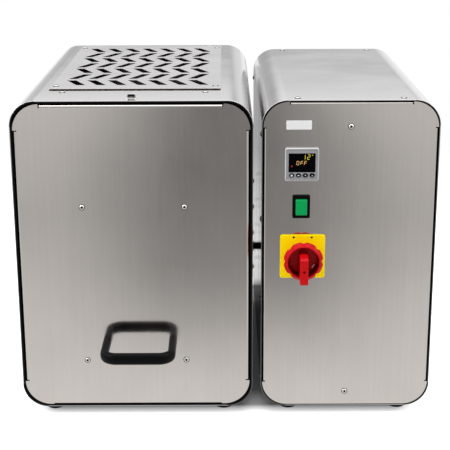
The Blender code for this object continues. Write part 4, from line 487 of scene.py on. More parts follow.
def spangled(name, colour, roughness):
    """Hot-dip galvanised sheet: crystals of differing tone and gloss."""
    p = Paint(name, Metallic=1.0)
    flake = p.node("SeparateColor", {"Color": p.cells(90, "Color")}).outputs[0]
    base = p.shade(p.mix(flake, p.noise(30), 0.7), colour, 0.8, 1.15)
    return p.finish(base, p.span(flake, roughness - 0.06, roughness + 0.12), p.bump(flake, 0.1, 0.0002))


def fibre_board(name, colour):
    """Vacuum-formed ceramic fibre: matt, matted surface with pits and faint heat stains."""
    p = Paint(name, Specular_IOR_Level=0.15, Sheen_Weight=0.2, Sheen_Roughness=0.6)
    mat, lump, stain = p.noise(420, 5.0, 0.7), p.noise(60), p.noise(9)
    tone = p.mix(mat, lump, 0.6, CORE)
    warm = (colour[0] * 0.93, colour[1] * 0.84, colour[2] * 0.70, 1)
    base = p.blend(p.span(stain, 0, 0.45, 0.5, 0.75), p.shade(tone, colour, 0.86, 1.06), warm)
    normal = p.bump(mat, 0.5, 0.0006, p.bump(lump, 0.4, 0.0012))
    return p.finish(base, 0.95, normal)


def fired_ceramic(name, colour, speckle):
    """Dense fired ceramic with dark speckles and a sandy surface."""
    p = Paint(name)
    sand = p.noise(900)
    share = p.span(p.cells(260), 0.7, 0.0, 0.05, 0.22)
    base = p.blend(share, p.shade(sand, colour, 0.85, 1.1), (*speckle, 1))
    return p.finish(base, p.span(sand, 0.6, 0.85), p.bump(sand, 0.35, 0.0002))


def rods(name, colour, glazed):
    """Silicide heating rods: grey-brown glaze over a fine drawn surface."""
    p = Paint(name, Metallic=0.6, Coat_Weight=0.4, Coat_Roughness=0.2)
    drawn, glaze = p.noise((900, 900, 60)), p.noise((40, 40, 25))
    base = p.blend(p.span(glaze, 0, 0.8, 0.35, 0.7), p.shade(drawn, colour, 0.8, 1.2), (*glazed, 1))
    return p.finish(base, p.span(glaze, 0.3, 0.55), p.bump(drawn, 0.15, 0.0001))


def laminated(name, colour, rusty):
    """Stacked transformer sheets: thin dark and light lines across the stack, with a rusty varnish."""
    p = Paint(name, Metallic=0.8)
    lines, rust = p.wave(330.0, 0.4, "Y"), p.noise(45, 4.0)
    base = p.blend(p.span(rust, 0, 0.55, 0.5, 0.8), p.shade(lines, colour, 0.6, 1.2), (*rusty, 1))
    return p.finish(base, p.span(rust, 0.35, 0.6), p.bump(lines, 0.3, 0.0002))


def wound(name, colour):
    """Varnished copper turns, wound round the vertical leg."""
    p = Paint(name, Metallic=0.75, Coat_Weight=0.6, Coat_Roughness=0.2)
    turns, soot = p.wave(150.0, 0.6, "Z"), p.noise(50)
    base = p.shade(p.mix(turns, soot, 0.7), colour, 0.55, 1.2)
    return p.finish(base, p.span(soot, 0.25, 0.45), p.bump(turns, 0.6, 0.0006))


def lit(name, colour):
    """A display segment: its own colour, slightly uneven, that glows."""
    p = Paint(name, Roughness=0.4, Emission_Strength=0.4)
    tone = p.shade(p.noise(900, 1.0, 0.5), colour, 0.85, 1.1)
    return p.set(Base_Color=tone, Emission_Color=tone)


def glass_paint(name, colour):
    """Dark display glass with a faint film on it."""
    p = Paint(name, Roughness=0.08, Specular_IOR_Level=0.04)
    return p.set(Base_Color=p.shade(p.noise(50), colour, 0.7, 1.3))


# Linear colours, and then the settings of each finish
SHEET_TONE = (0.56, 0.545, 0.55)
FACE_TONE = (0.58, 0.545, 0.515)
SHELL_STEEL = brushed("shell_steel", SHEET_TONE, 0.09, 0.5, 0.08)
DOOR_STEEL = brushed("door_steel", FACE_TONE, 0.115, 0.6, 0.07, 1.5)
PANEL_STEEL = brushed("panel_steel", FACE_TONE, 0.13, 0.6, 0.07, 3.0)
VENT_STEEL = brushed("vent_steel", SHEET_TONE, 0.20, 0.5, 0.10, 4.5)
REAR_STEEL = brushed("rear_steel", SHEET_TONE, 0.22, 0.5, 0.08, 6.0)
# The sheets' inside faces: steel painted dark as shade.
INSIDE_PAINTED_SHADE = rolled("inside_steel_painted_shade", (0.07, 0.068, 0.065), 0.55, 0.2, 60)
# Cut edges: their oxide together with painted shade in the vent slots and under the vent plate.
CUT_EDGE_AND_SHADE = rolled("cut_edge_and_painted_shade", (0.10, 0.085, 0.075), 0.50, 0.2, 500)
# Screw sockets and seat rings, painted black as shade.
SOCKET_PAINTED_SHADE = moulded("drive_shadow", (0.002, 0.002, 0.002), 0.7, 900, 0.0001, 0.02)
SEAL_BLACK = moulded("seal_black", (0.004, 0.004, 0.004), 0.75, 700, 0.0001, 0.1)
CHROME = rolled("chrome", (0.80, 0.79, 0.77), 0.10, 0.04, 300)
SCREW_STEEL = rolled("screw_steel", (0.64, 0.63, 0.61), 0.20, 0.08, 600)
# The shell's and the vent plate's screws: the front screws' steel painted darker as shade against the light
# from above.
SCREW_STEEL_PAINTED_SHADE = rolled("screw_steel_painted_shade", (0.42, 0.41, 0.40), 0.22, 0.08, 600)
ALUMINIUM = rolled("aluminium", (0.70, 0.70, 0.70), 0.32, 0.08, (500, 25, 500))
GALVANISED = spangled("galvanised", (0.52, 0.53, 0.54), 0.35)
# The inner casing: galvanised sheet painted dark as shade, seen through the vent slots.
CASING_PAINTED_SHADE = spangled("galvanised_painted_shade", (0.09, 0.088, 0.085), 0.6)
BLACK_PAINT = moulded("black_paint", (0.012, 0.012, 0.013), 0.42, 900, 0.0001, 0.2)
BLACK_PLASTIC = moulded("black_plastic", (0.003, 0.003, 0.0035), 0.40, 1500, 0.00006, 0.05)
HANDLE_BLACK = moulded("handle_black", (0.0025, 0.0025, 0.003), 0.33, 1300, 0.00008, 0.06)
SWITCH_PLASTIC = moulded("switch_plastic", (0.030, 0.031, 0.033), 0.45, 1200, 0.00008, 0.3)
RUBBER = moulded("rubber", (0.006, 0.006, 0.006), 0.62, 700, 0.0002, 0.1)
BEZEL_GREY = moulded("bezel_grey", (0.30, 0.305, 0.315), 0.38, 1300, 0.00007)
# The bezel's raised rim: the bezel's grey painted paler as a highlight.
RIM_PAINTED_HIGHLIGHT = moulded("rim_painted_highlight", (0.60, 0.605, 0.61), 0.35, 1300, 0.00005)
KEY_BLACK = moulded("key_black", (0.004, 0.004, 0.005), 0.40, 1300, 0.00006, 0.08)
KEY_MARK = moulded("key_mark", (0.62, 0.64, 0.66), 0.45, 1300, 0.00003)
GREEN = moulded("green_cap", (0.0005, 0.34, 0.085), 0.30, 1500, 0.00005, 0.15)
YELLOW = moulded("yellow_plate", (1.0, 0.76, 0.0005), 0.40, 1300, 0.00007, 0.04, 0.02)
RED = moulded("red_knob", (0.53, 0.002, 0.005), 0.32, 1300, 0.00006, 0.12)
# The knob's cup: the knob's red painted darker as shade.
RED_PAINTED_SHADE = moulded("red_cup_painted_shade", (0.13, 0.0005, 0.001), 0.45, 1300, 0.00006, 0.02)
LABEL_WHITE = moulded("label_white", (0.84, 0.84, 0.84), 0.40, 1500, 0.00003, spread=0.02)
BOARD = fibre_board("fibre_board", (0.80, 0.78, 0.72))
HEARTH = fired_ceramic("hearth_ceramic", (0.62, 0.56, 0.46), (0.20, 0.15, 0.10))
ELEMENT = rods("element_rod", (0.16, 0.15, 0.14), (0.20, 0.13, 0.08))
LAMINATION = laminated("lamination", (0.16, 0.16, 0.17), (0.13, 0.06, 0.03))
WINDING = wound("winding", (0.52, 0.20, 0.06))
AMBER = lit("amber_digits", (0.80, 0.46, 0.16))
LIME = lit("lime_digits", (0.78, 0.68, 0.07))
RED_GLOW = lit("red_lamp", (0.40, 0.02, 0.03))
GLASS = glass_paint("display_glass", (0.0012, 0.0012, 0.0016))

# Screws

SEAT_RADIUS, SEAT_HEIGHT = 0.0044, 0.00045
HEAD = (
    (0.0, -0.0003), (SEAT_RADIUS, -0.0003), (SEAT_RADIUS, SEAT_HEIGHT), (0.0037, SEAT_HEIGHT),
    (0.0037, 0.00050), (0.0035, 0.00085), (0.0031, 0.00120), (0.00255, 0.00152), (0.00190, 0.00174),
    (0.00100, 0.00187), (0.0, 0.00189),
)
SOCKET_RADIUS, SOCKET_FLOOR, SOCKET_TOP = 0.00185, 0.00030, 0.003
RIM_RADIUS, RIM_HEIGHT = 0.00200, 0.00160
SPIN = math.radians(37)


def in_shadow(middle):
    """Whether a face of the template lies in the socket or on the seat ring, the places painted black as
    shade.
    """
    in_socket = math.hypot(middle.x, middle.y) < RIM_RADIUS and middle.z < RIM_HEIGHT
    return middle.z < SEAT_HEIGHT * 1.1 or in_socket


def screw_mesh():
    """A button head with a hexagon socket on a thin seat, standing on the plane z = 0; the socket and the
    seat ring are painted black as shade.
    """
    socket = loft([[(x, y, z) for x, y in ring(SOCKET_RADIUS, 6)] for z in (SOCKET_FLOOR, SOCKET_TOP)])
    head = carved(turned(HEAD, 32), socket)
    head.normal_update()
    for face in head.faces:
        face.material_index = int(in_shadow(face.calc_center_median()))
    return mesh_of(head, "screw_template")


screw_template = screw_mesh()


def screws(name, places, body, steel=SCREW_STEEL):
    """Heads at (point, normal) places, each turned to its own angle."""
    heads = []
    for number, (point, normal) in enumerate(places):
        head = bmesh.new()
        head.from_mesh(screw_template)
        turn = Vector(normal).to_track_quat("Z", "Y").to_matrix().to_4x4()
        head.transform(Matrix.Translation(point) @ turn @ Matrix.Rotation(SPIN * number, 4, "Z"))
        heads.append(head)
    made = piece(name, gather(heads), steel, body, weighted=False, sharp=50)
    made.data.materials.append(SOCKET_PAINTED_SHADE)


# Cabinets

FRONT_SHARES = (0.09, 0.355, 0.62, 0.89)
REAR_SHARES = (0.13, 0.273, 0.38, 0.485, 0.896)
REAR_SCREW_INSET = 0.015


def shell_screws(name, left, right, back, top_x, front_inset):
    """A column of screws near each end of both sides, and two screws near each end of the top."""
    middle = (left + right) / 2
    places = []
    for y, shares in ((FRONT + front_inset, FRONT_SHARES), (back - REAR_SCREW_INSET, REAR_SHARES)):
        for x, side in ((left, -1), (right, 1)):
            for share in shares:
                places.append(((x, y, SHELL_LOW + share * HEIGHT), (side, 0, 0)))
            places.append(((middle + side * top_x, y, SHELL_HIGH), (0, 0, 1)))
    screws(name, places, "cabinets", SCREW_STEEL_PAINTED_SHADE)


def shell_skin(node, left, right, back, openings):
    """A cabinet's wrap-round shell in bent sheet, with softened rims and its inside faces painted dark as
    shade.
    """
    half_x, half_z = (right - left) / 2, HEIGHT / 2
    middle_x, middle_z = (left + right) / 2, SHELL_LOW + half_z
    inner = SHEET - EDGE
    profile = (
        (FRONT, inner), (FRONT, EDGE), (FRONT + EDGE, 0), (back - EDGE, 0),
        (back, EDGE), (back, inner), (back - EDGE, SHEET), (FRONT + EDGE, SHEET),
    )

    def outline(inset):
        return rounded(half_x - inset, half_z - inset, CORNER - inset)

    def within(middle, normal):
        x, z = abs(middle.x - middle_x), abs(middle.z - middle_z)
        reach = math.hypot(max(x - half_x + CORNER, 0), max(z - half_z + CORNER, 0))
        return x < half_x - SHEET / 2 and z < half_z - SHEET / 2 and reach < CORNER - SHEET / 2

    bm = stack((middle_x, middle_z), outline, profile, closed=True)
    for opening in openings:
        bm = carved(bm, opening)
    piece(
        f"{node}_skin", bm, SHELL_STEEL, "cabinets", (node,), loop_grain(middle_x, half_x),
        sharp=50, inside=(INSIDE_PAINTED_SHADE, within),
    )


VENT = Box("vent_plate")
VENT_LAP = 0.014
DUCT = Box("interconnect_duct")
DUCT_HOLE = 0.0068


def duct_hole(x):
    return rod((x - CUT, DUCT.y, DUCT.z), (x + CUT, DUCT.y, DUCT.z), DUCT_HOLE)


window = block(
    (VENT.low.x + VENT_LAP, VENT.low.y + VENT_LAP, SHELL_HIGH - CUT),
    (VENT.high.x - VENT_LAP, VENT.high.y - VENT_LAP, SHELL_HIGH + CUT),
)
furnace = FURNACE_LEFT, FURNACE_RIGHT, FURNACE_BACK
control = CONTROL_LEFT, CONTROL_RIGHT, CONTROL_BACK
shell_skin("furnace_shell", *furnace, (window, duct_hole(FURNACE_RIGHT)))
shell_skin("control_shell", *control, (duct_hole(CONTROL_LEFT),))
shell_screws("furnace_shell_screws", *furnace, top_x=0.104, front_inset=0.0675)
shell_screws("control_shell_screws", *control, top_x=0.075, front_inset=0.016)


def faces_inward(middle, normal):
    """The rear panels' sides that look into the cabinets, which take the painted shade of the inside."""
    return normal.y < -0.5


for cabinet in ("furnace", "control"):
    node = f"{cabinet}_rear_panel"
    piece(
        f"{node}_skin", bevelled(from_node(node), EDGE), REAR_STEEL, "cabinets", (node,),
        flat_grain, sharp=40, inside=(INSIDE_PAINTED_SHADE, faces_inward),
    )

LOUVRE_HALF, LOUVRE_HEIGHT, LOUVRE_PITCH, LOUVRE_GAP = 0.039, 0.0045, 0.013, 0.018
LOUVRE_ROWS = 6
BLADE_REACH, BLADE_THICKNESS = 0.0065, 0.0009


def louvre_blades(cabinet, middle, shares):
    """A blade behind each louvre of a rear panel, pressed in from its upper edge and sloping down."""
    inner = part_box(f"{cabinet}_rear_panel")[1].y - SHEET
    blades = []
    for share in shares:
        for row in range(LOUVRE_ROWS):
            level = SHELL_LOW + share * HEIGHT + (row - (LOUVRE_ROWS - 1) / 2) * LOUVRE_PITCH
            top = level + LOUVRE_HEIGHT / 2
            profile = [
                (inner + PROUD, top + BLADE_THICKNESS), (inner - BLADE_REACH, top - BLADE_REACH),
                (inner - BLADE_REACH, top - BLADE_REACH - BLADE_THICKNESS), (inner + PROUD, top),
            ]
            for side in (-1, 1):
                x = middle + side * (LOUVRE_HALF + LOUVRE_GAP / 2)
                blades.append(extruded(profile, x - LOUVRE_HALF, x + LOUVRE_HALF))
    piece(
        f"{cabinet}_rear_louvres", bevelled(gather(blades), PROUD, 1), REAR_STEEL, "cabinets",
        (), flat_grain, inside=(INSIDE_PAINTED_SHADE, faces_inward),
    )


louvre_blades("furnace", FURNACE_X, (0.30, 0.84))
louvre_blades("control", CONTROL_X, (0.36, 0.84))

# Vent plate

VENT_TOP = VENT.high.z - SCREW_HEIGHT
VENT_INSET_X, VENT_INSET_Y = 0.0075, 0.024


def top_grain(co, normal):
    return co.y, co.x


def cut_edge_and_shade_faces(middle, normal):
    """The sheet's cut edges and its underside, painted dark: the oxide of the cutting on the edges, together
    with painted shade in the slots and beneath the plate.
    """
    return normal.z < 0.3


vent = from_node("vent_plate", (2, VENT_TOP, 1))
piece(
    "vent_plate_skin", bevelled(vent, EDGE * 0.5, 2, math.radians(60)), VENT_STEEL, "cabinets",
    ("vent_plate",), top_grain, sharp=45, inside=(CUT_EDGE_AND_SHADE, cut_edge_and_shade_faces),
)
vent_places = [
    ((x, y, VENT_TOP), (0, 0, 1))
    for x in (VENT.low.x + VENT_INSET_X, VENT.high.x - VENT_INSET_X)
    for y in (VENT.low.y + VENT_INSET_Y, VENT.high.y - VENT_INSET_Y)
]
screws("vent_plate_screws", vent_places, "cabinets", SCREW_STEEL_PAINTED_SHADE)

# Front panels

LIP = 0.001
RELIEF_WIDTH, RELIEF_DEPTH = 0.0016, 0.0008
BEND_STEPS = 9
PANEL_EDGE = 0.0002


def folded(node, face, bend, rounder, plain=()):
    """A sheet front as one bent skin: a flat face with rounded corners, and its sides folded back.

    Sides are counted from the top, then left, bottom and right; the plain ones end in a straight edge.
    The corners stand proud of the folds by a lip, and a relief notch parts each fold from its corner."""
    box = Box(node)
    radius = CORNER - (box.low.z - SHELL_LOW) + rounder
    line, deep = LIP + bend, LIP + bend + RELIEF_DEPTH
    arcs = rounded(box.half_x, box.half_z, radius)
    count = CORNER_STEPS + 1
    outline, folds = [], []

    def notch(end, inward, along):
        """From a fold's line round the relief notch to the end of a corner's arc."""
        wide = along * RELIEF_WIDTH
        return [end + inward * line + wide, end + inward * deep + wide, end + inward * deep]

    for corner in range(4):
        turn = Matrix.Rotation(QUARTER * corner, 2)
        arc = [Vector(point) for point in arcs[corner * count:(corner + 1) * count]]
        if (corner - 1) % 4 not in plain:
            outline += notch(arc[0], turn @ Vector((-1, 0)), turn @ Vector((0, -1)))
        outline += arc
        inward = turn @ Vector((0, -1))
        if corner not in plain:
            outline += notch(arc[-1], inward, turn @ Vector((-1, 0)))[::-1]
            folds.append((len(outline) - 1, inward))
    angles = [QUARTER * step / BEND_STEPS for step in range(1, BEND_STEPS + 1)]
    places = [(bend * math.sin(angle), bend * (1 - math.cos(angle))) for angle in angles]
    places.append((bend, box.high.y - face))
    bm = bmesh.new()
    verts = [bm.verts.new((box.x + p.x, face, box.z + p.y)) for p in outline]
    plate = bm.faces.new(verts)
    for start, inward in folds:
        row = [verts[start], verts[(start + 1) % len(verts)]]
        out = Vector((-inward.x, 0, -inward.y))
        base = [v.co.copy() for v in row]
        for reach, depth in places:
            new = [bm.verts.new(b + out * reach + Vector((0, depth, 0))) for b in base]
            bm.faces.new((row[0], row[1], new[1], new[0]))
            row = new
    bmesh.ops.recalc_face_normals(bm, faces=bm.faces)
    bm.normal_update()
    if plate.normal.y > 0:
        bmesh.ops.reverse_faces(bm, faces=bm.faces)
    return changed((bm,), "SOLIDIFY", thickness=SHEET, offset=-1, use_even_offset=True)


BOTTOM_PLAIN = (2,)
DOOR_PROUD, DOOR_BEND, DOOR_ROUNDER = 0.001, 0.004, 0.005
DOOR_TRIM, TRIM_START = 0.0014, 0.009
DOOR_SCREW_X, DOOR_SCREW_LOW, DOOR_SCREW_HIGH = 0.0735, 0.021, 0.018
door_face = FRONT - DOOR_PROUD
door_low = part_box("door_panel")[0]
trim = block(
    (FURNACE_LEFT + CORNER + TRIM_START, FRONT - CUT, door_low.z - CUT),
    (FURNACE_RIGHT - CORNER - TRIM_START, FRONT + CUT, door_low.z + DOOR_TRIM),
)
door_sheet = carved(folded("door_panel", door_face, DOOR_BEND, DOOR_ROUNDER, BOTTOM_PLAIN), trim)
piece(
    "door_panel_skin", bevelled(door_sheet, PANEL_EDGE), DOOR_STEEL, "door", ("door_panel",),
    flat_grain, sharp=40,
)
plug = Box("door_insulation")
door_places = [
    ((FURNACE_X + side * DOOR_SCREW_X, door_face, z), (0, -1, 0))
    for side in (-1, 1)
    for z in (plug.low.z + DOOR_SCREW_LOW, plug.high.z - DOOR_SCREW_HIGH)
]
screws("door_screws", door_places, "door")

CONTROL_SETBACK, CONTROL_BEND, CONTROL_ROUNDER = 0.0002, 0.0026, 0.002
PANEL_FACE = FRONT + CONTROL_SETBACK
TRUNK_HOLE, SWITCH_HOLE = 0.0228, 0.0065
PUSH_HOLE_X, PUSH_HOLE_Z = 0.0113, 0.0153
PANEL_SCREW_Z = (0.0235, 0.4280)


def panel_holes():
    """What is cut out of the control panel for the controller, the push switch and the main switch."""
    case, push, main = Box("controller_case"), Box("push_switch_frame"), Box("main_switch_plate")
    tools = []
    for box, half_x, half_z in ((case, TRUNK_HOLE, TRUNK_HOLE), (push, PUSH_HOLE_X, PUSH_HOLE_Z)):
        low = (box.x - half_x, FRONT - CUT, box.z - half_z)
        tools.append(block(low, (box.x + half_x, FRONT + CUT, box.z + half_z)))
    tools.append(rod((main.x, FRONT - CUT, main.z), (main.x, FRONT + CUT, main.z), SWITCH_HOLE))
    return gather(tools)


control_sheet = folded("control_front_panel", PANEL_FACE, CONTROL_BEND, CONTROL_ROUNDER, BOTTOM_PLAIN)
control_sheet = carved(control_sheet, panel_holes())
piece(
    "control_front_panel_skin", bevelled(control_sheet, PANEL_EDGE), PANEL_STEEL, "cabinets",
    ("control_front_panel",), flat_grain, sharp=40,
)
panel_places = [((CONTROL_X, PANEL_FACE, SHELL_LOW + z), (0, -1, 0)) for z in PANEL_SCREW_Z]
screws("control_panel_screws", panel_places, "cabinets")


def seal_skin():
    """The soft black strip that lines the shell's front edge and leaves the bright rim bare."""
    box = Box("door_seal")
    thick, edge, round_edge = 0.002, 0.0005, 0.0006
    front, back = box.low.y, box.high.y
    radius = CORNER - (box.low.x - FURNACE_LEFT)

    def outline(inset):
        return rounded(box.half_x - inset, box.half_z - inset, radius - inset)

    profile = (
        (FRONT, 0), (FRONT, edge), (front + round_edge, edge), (front, edge + round_edge),
        (front, thick - round_edge), (front + round_edge, thick), (back, thick), (back, 0),
    )
    strip = stack((box.x, box.z), outline, profile, closed=True)
    piece("door_seal_skin", strip, SEAL_BLACK, "cabinets", ("door_seal",), sharp=50)


seal_skin()

# Handle


def handle_skin():
    """One oval bar bent into a bow between its two feet on the door."""
    box = Box("door_handle")
    depth_share, roundness = 0.657, 0.88
    bend, steps, sides = 0.019, 14, 32
    thick = box.half_z
    depth = thick * depth_share
    half = box.half_x - depth
    foot, front = box.high.y, box.low.y + depth
    leg = (foot + front + bend) / 2
    path = [((-half, foot), (0, -1)), ((-half, leg), (0, -1))]
    for side in (-1, 1):
        for step in range(steps + 1):
            turn = QUARTER * (step / steps if side < 0 else 1 - step / steps)
            x = side * (half - bend + bend * math.cos(turn))
            y = front + bend - bend * math.sin(turn)
            path.append(((x, y), (math.sin(turn), side * math.cos(turn))))
    path += [((half, leg), (0, 1)), ((half, foot), (0, 1))]
    section = []
    for wide, tall in ring(1, sides):
        wide = math.copysign(abs(wide) ** roundness, wide) * depth
        section.append((wide, math.copysign(abs(tall) ** roundness, tall) * thick))
    rings = []
    for (x, y), (dx, dy) in path:
        across = Vector((-dy, dx))
        rings.append([(box.x + x + across.x * w, y + across.y * w, box.z + t) for w, t in section])
    piece("door_handle_skin", loft(rings), HANDLE_BLACK, "door", ("door_handle",), sharp=50)


handle_skin()

# Controller

DIGIT_GAP, DIGIT_LEAN, DIGIT_STROKE = 0.15, 0.10, 0.00055


def glyph(segments, x, z, size, y):
    """A seven-segment figure as thin bars on the plane y, leaning a little to the right."""
    width, height = size
    top, low = z + height / 2, z - height / 2
    left, right = x - width / 2, x + width / 2
    lines = {
        "a": ((left, top), (right, top)),
        "b": ((right, top), (right, z)),
        "c": ((right, z), (right, low)),
        "d": ((left, low), (right, low)),
        "e": ((left, z), (left, low)),
        "f": ((left, top), (left, z)),
        "g": ((left, z), (right, z)),
    }
    bars = []
    for key in segments:
        start, end = (Vector(point) for point in lines[key])
        along = (end - start).normalized()
        across = Vector((-along.y, along.x)) * DIGIT_STROKE / 2
        tip, gap = along * DIGIT_STROKE / 2, along * DIGIT_STROKE * DIGIT_GAP
        start, end = start + gap, end - gap
        outline = (
            start, start + tip - across, end - tip - across, end, end - tip + across, start + tip + across,
        )
        outline = [(px + (pz - z) * DIGIT_LEAN, pz) for px, pz in outline]
        bars.append(extruded(outline, y, y + PROUD, "Y"))
    return bars


CASE = Box("controller_case")
DISPLAY = Box("controller_display")
KEYS = [Box(f"controller_key_{number}") for number in range(1, 5)]
KEY_HALF_X, KEY_HALF_Z, POCKET_SLACK = 0.00345, 0.00285, 0.0003
BEZEL_CORNER, BEZEL_EDGE, BEZEL_RIM, BEZEL_RECESS = 0.0030, 0.0011, 0.0021, 0.0007
WINDOW_POCKET, KEY_POCKET = 0.0042, 0.0040
BEZEL_SOFT = 0.00018
TRUNK_HALF, TRUNK_CORNER = 0.0223, 0.0015
WINDOW_CORNER = 0.0008


def controller_body():
    """The bezel with its raised rim painted paler as a highlight, its pockets, and the trunk behind the
    panel.
    """
    front, back = CASE.low.y, PANEL_FACE - PROUD
    profile = [
        (back, EDGE), (back, 0), (front + BEZEL_EDGE * 1.6, 0), (front + BEZEL_EDGE * 0.5, BEZEL_EDGE * 0.35),
        (front, BEZEL_EDGE), (front, BEZEL_RIM), (front + BEZEL_RECESS, BEZEL_RIM + BEZEL_RECESS * 0.6),
    ]
    bezel = slab(CASE.x, CASE.z, CASE.half_x, CASE.half_x, BEZEL_CORNER, profile, 8)
    low, high = DISPLAY.low, DISPLAY.high
    pocket = block(
        (low.x - POCKET_SLACK, front - CUT, low.z - POCKET_SLACK),
        (high.x + POCKET_SLACK, front + WINDOW_POCKET, high.z + POCKET_SLACK),
    )
    bezel = carved(bezel, pocket)
    levels = ((front - CUT, 1), (front + KEY_POCKET, 1))
    well_x, well_z = KEY_HALF_X + POCKET_SLACK, KEY_HALF_Z + POCKET_SLACK
    wells = [ovals(key.x, key.z, well_x, well_z, levels) for key in KEYS]
    bezel = carved(bezel, gather(wells))

    def on_painted_highlight_rim(middle, normal):
        """The raised outer border of the bezel, painted paler as a highlight."""
        reach = max(abs(middle.x - CASE.x), abs(middle.z - CASE.z))
        return reach > CASE.half_x - BEZEL_RIM * 0.7 and middle.y < front + BEZEL_EDGE * 2

    piece(
        "controller_bezel", bevelled(bezel, BEZEL_SOFT, 2, math.radians(50)), BEZEL_GREY, "cabinets",
        sharp=40, inside=(RIM_PAINTED_HIGHLIGHT, on_painted_highlight_rim),
    )
    profile = [(back, 0), (CASE.high.y - EDGE, 0), (CASE.high.y, EDGE)]
    trunk = slab(CASE.x, CASE.z, TRUNK_HALF, TRUNK_HALF, TRUNK_CORNER, profile)
    piece("controller_trunk", trunk, SWITCH_PLASTIC, "cabinets", ("controller_case",))


UPPER_LEVEL, UPPER_SIZE = 0.0084, (0.0034, 0.0066)
UPPER_DIGITS = (("bc", 0.0026), ("abged", 0.0094))
LOWER_LEVEL, LOWER_SIZE = -0.0002, (0.0031, 0.0052)
LOWER_LETTERS = (("abcdef", -0.0060), ("aefg", -0.0005), ("aefg", 0.0050))
POINT_X, POINT_Z, POINT_RADIUS = 0.0146, 0.0112, 0.0006
LAMP_X, LAMP_Z, LAMP_RADIUS = -0.0146, -0.0048, 0.0010


def controller_display():
    """The dark window, a generic number over the word OFF, and a small lamp."""
    face = DISPLAY.low.y
    y = face - PROUD
    levels = ((y, 1), (y + PROUD, 1))
    profile = [(DISPLAY.high.y, 0), (face + EDGE / 2, 0), (face, EDGE / 2)]
    glass = slab(DISPLAY.x, DISPLAY.z, DISPLAY.half_x, DISPLAY.half_z, WINDOW_CORNER, profile)
    piece("controller_window", glass, GLASS, "cabinets", ("controller_display",))

    def figures(shapes, level, size):
        bars = []
        for segments, x in shapes:
            bars += glyph(segments, DISPLAY.x + x, DISPLAY.z + level, size, y)
        return bars

    upper = figures(UPPER_DIGITS, UPPER_LEVEL, UPPER_SIZE)
    upper.append(ovals(DISPLAY.x + POINT_X, DISPLAY.z + POINT_Z, POINT_RADIUS, POINT_RADIUS, levels, 12))
    piece("upper_digits", gather(upper), LIME, "cabinets", weighted=False)
    lower = figures(LOWER_LETTERS, LOWER_LEVEL, LOWER_SIZE)
    piece("lower_digits", gather(lower), AMBER, "cabinets", weighted=False)
    glow = ovals(DISPLAY.x + LAMP_X, DISPLAY.z + LAMP_Z, LAMP_RADIUS, LAMP_RADIUS, levels, 16)
    piece("display_lamp", glow, RED_GLOW, "cabinets", weighted=False)


MARK_SIZE, MARK_TALL = 0.0012, 0.8
MARK_OVALS = {"dot": (1.35, 1.35), "oval": (1.3, 0.7)}


def key_mark(kind, key):
    """A dot, a flat oval or a triangle printed on a key's face."""
    front, back = key.low.y - PROUD / 2, key.low.y + PROUD
    if kind in MARK_OVALS:
        wide, tall = (MARK_SIZE * share for share in MARK_OVALS[kind])
        return ovals(key.x, key.z, wide, tall, ((front, 1), (back, 1)), 16)
    tall = MARK_SIZE * (MARK_TALL if kind == "up" else -MARK_TALL)
    outline = [(key.x - MARK_SIZE, key.z - tall), (key.x + MARK_SIZE, key.z - tall), (key.x, key.z + tall)]
    return extruded(outline, front, back, "Y")


def controller_keys():
    for number, (key, kind) in enumerate(zip(KEYS, ("dot", "oval", "down", "up")), 1):
        top = key.low.y
        levels = ((key.high.y, 1.0), (top + 0.0006, 1.0), (top + 0.0002, 0.93), (top, 0.78))
        cap = ovals(key.x, key.z, KEY_HALF_X, KEY_HALF_Z, levels)
        body = f"key_{number}"
        piece(f"{body}_cap", cap, KEY_BLACK, body, (f"controller_{body}",), sharp=50)
        piece(f"{body}_mark", key_mark(kind, key), KEY_MARK, body, weighted=False)


controller_body()
controller_display()
controller_keys()

# Push switch

CAP_GAP, CAP_SLACK, CAP_CORNER = 0.0009, 0.0004, 0.0013
COLLAR_CORNER, COLLAR_HOLE_CORNER, COLLAR_POCKET = 0.0020, 0.0012, 0.0082
PUSH_BODY_X, PUSH_BODY_Z, PUSH_BODY_CORNER = 0.0108, 0.0148, 0.001


def push_switch():
    """A black collar round a domed green cap, and the switch's body behind the panel."""
    frame_box, cap = Box("push_switch_frame"), Box("push_switch_cap")
    centre = frame_box.x, frame_box.z
    front, back = frame_box.low.y, PANEL_FACE - PROUD
    cap_x, cap_z = cap.half_x - CAP_GAP, cap.half_z - CAP_GAP
    hole_inset = frame_box.half_x - cap_x - CAP_SLACK
    outer = plate_outline(frame_box.half_x, frame_box.half_z, COLLAR_CORNER, 8)

    def outline(inset):
        if inset < hole_inset:
            return outer(inset)
        return rounded(cap_x + CAP_SLACK, cap_z + CAP_SLACK, COLLAR_HOLE_CORNER, 8)

    profile = [
        (back, hole_inset), (back, 0), (front + 0.0007, 0), (front + 0.0002, 0.0003), (front, 0.0009),
        (front, hole_inset - 0.0002), (front + 0.0003, hole_inset),
    ]
    collar = stack(centre, outline, profile, closed=True)
    piece(
        "push_switch_collar", collar, BLACK_PLASTIC, "cabinets", ("push_switch_frame",),
        sharp=40,
    )
    rear = frame_box.high.y
    profile = [(back + COLLAR_POCKET, 0), (rear - EDGE, 0), (rear, EDGE)]
    body = slab(*centre, PUSH_BODY_X, PUSH_BODY_Z, PUSH_BODY_CORNER, profile)
    piece("push_switch_body", body, BLACK_PLASTIC, "cabinets")
    face = cap.low.y
    profile = [
        (cap.high.y, 0), (face + 0.0012, 0), (face + 0.0005, 0.00025), (face + 0.0001, 0.0008),
        (face, 0.0018), (face + 0.0001, 0.0030),
    ]
    button = slab(*centre, cap_x, cap_z, CAP_CORNER, profile, 8)
    piece("push_switch_button", button, GREEN, "push_switch", ("push_switch_cap",), sharp=50)


push_switch()

# Main switch

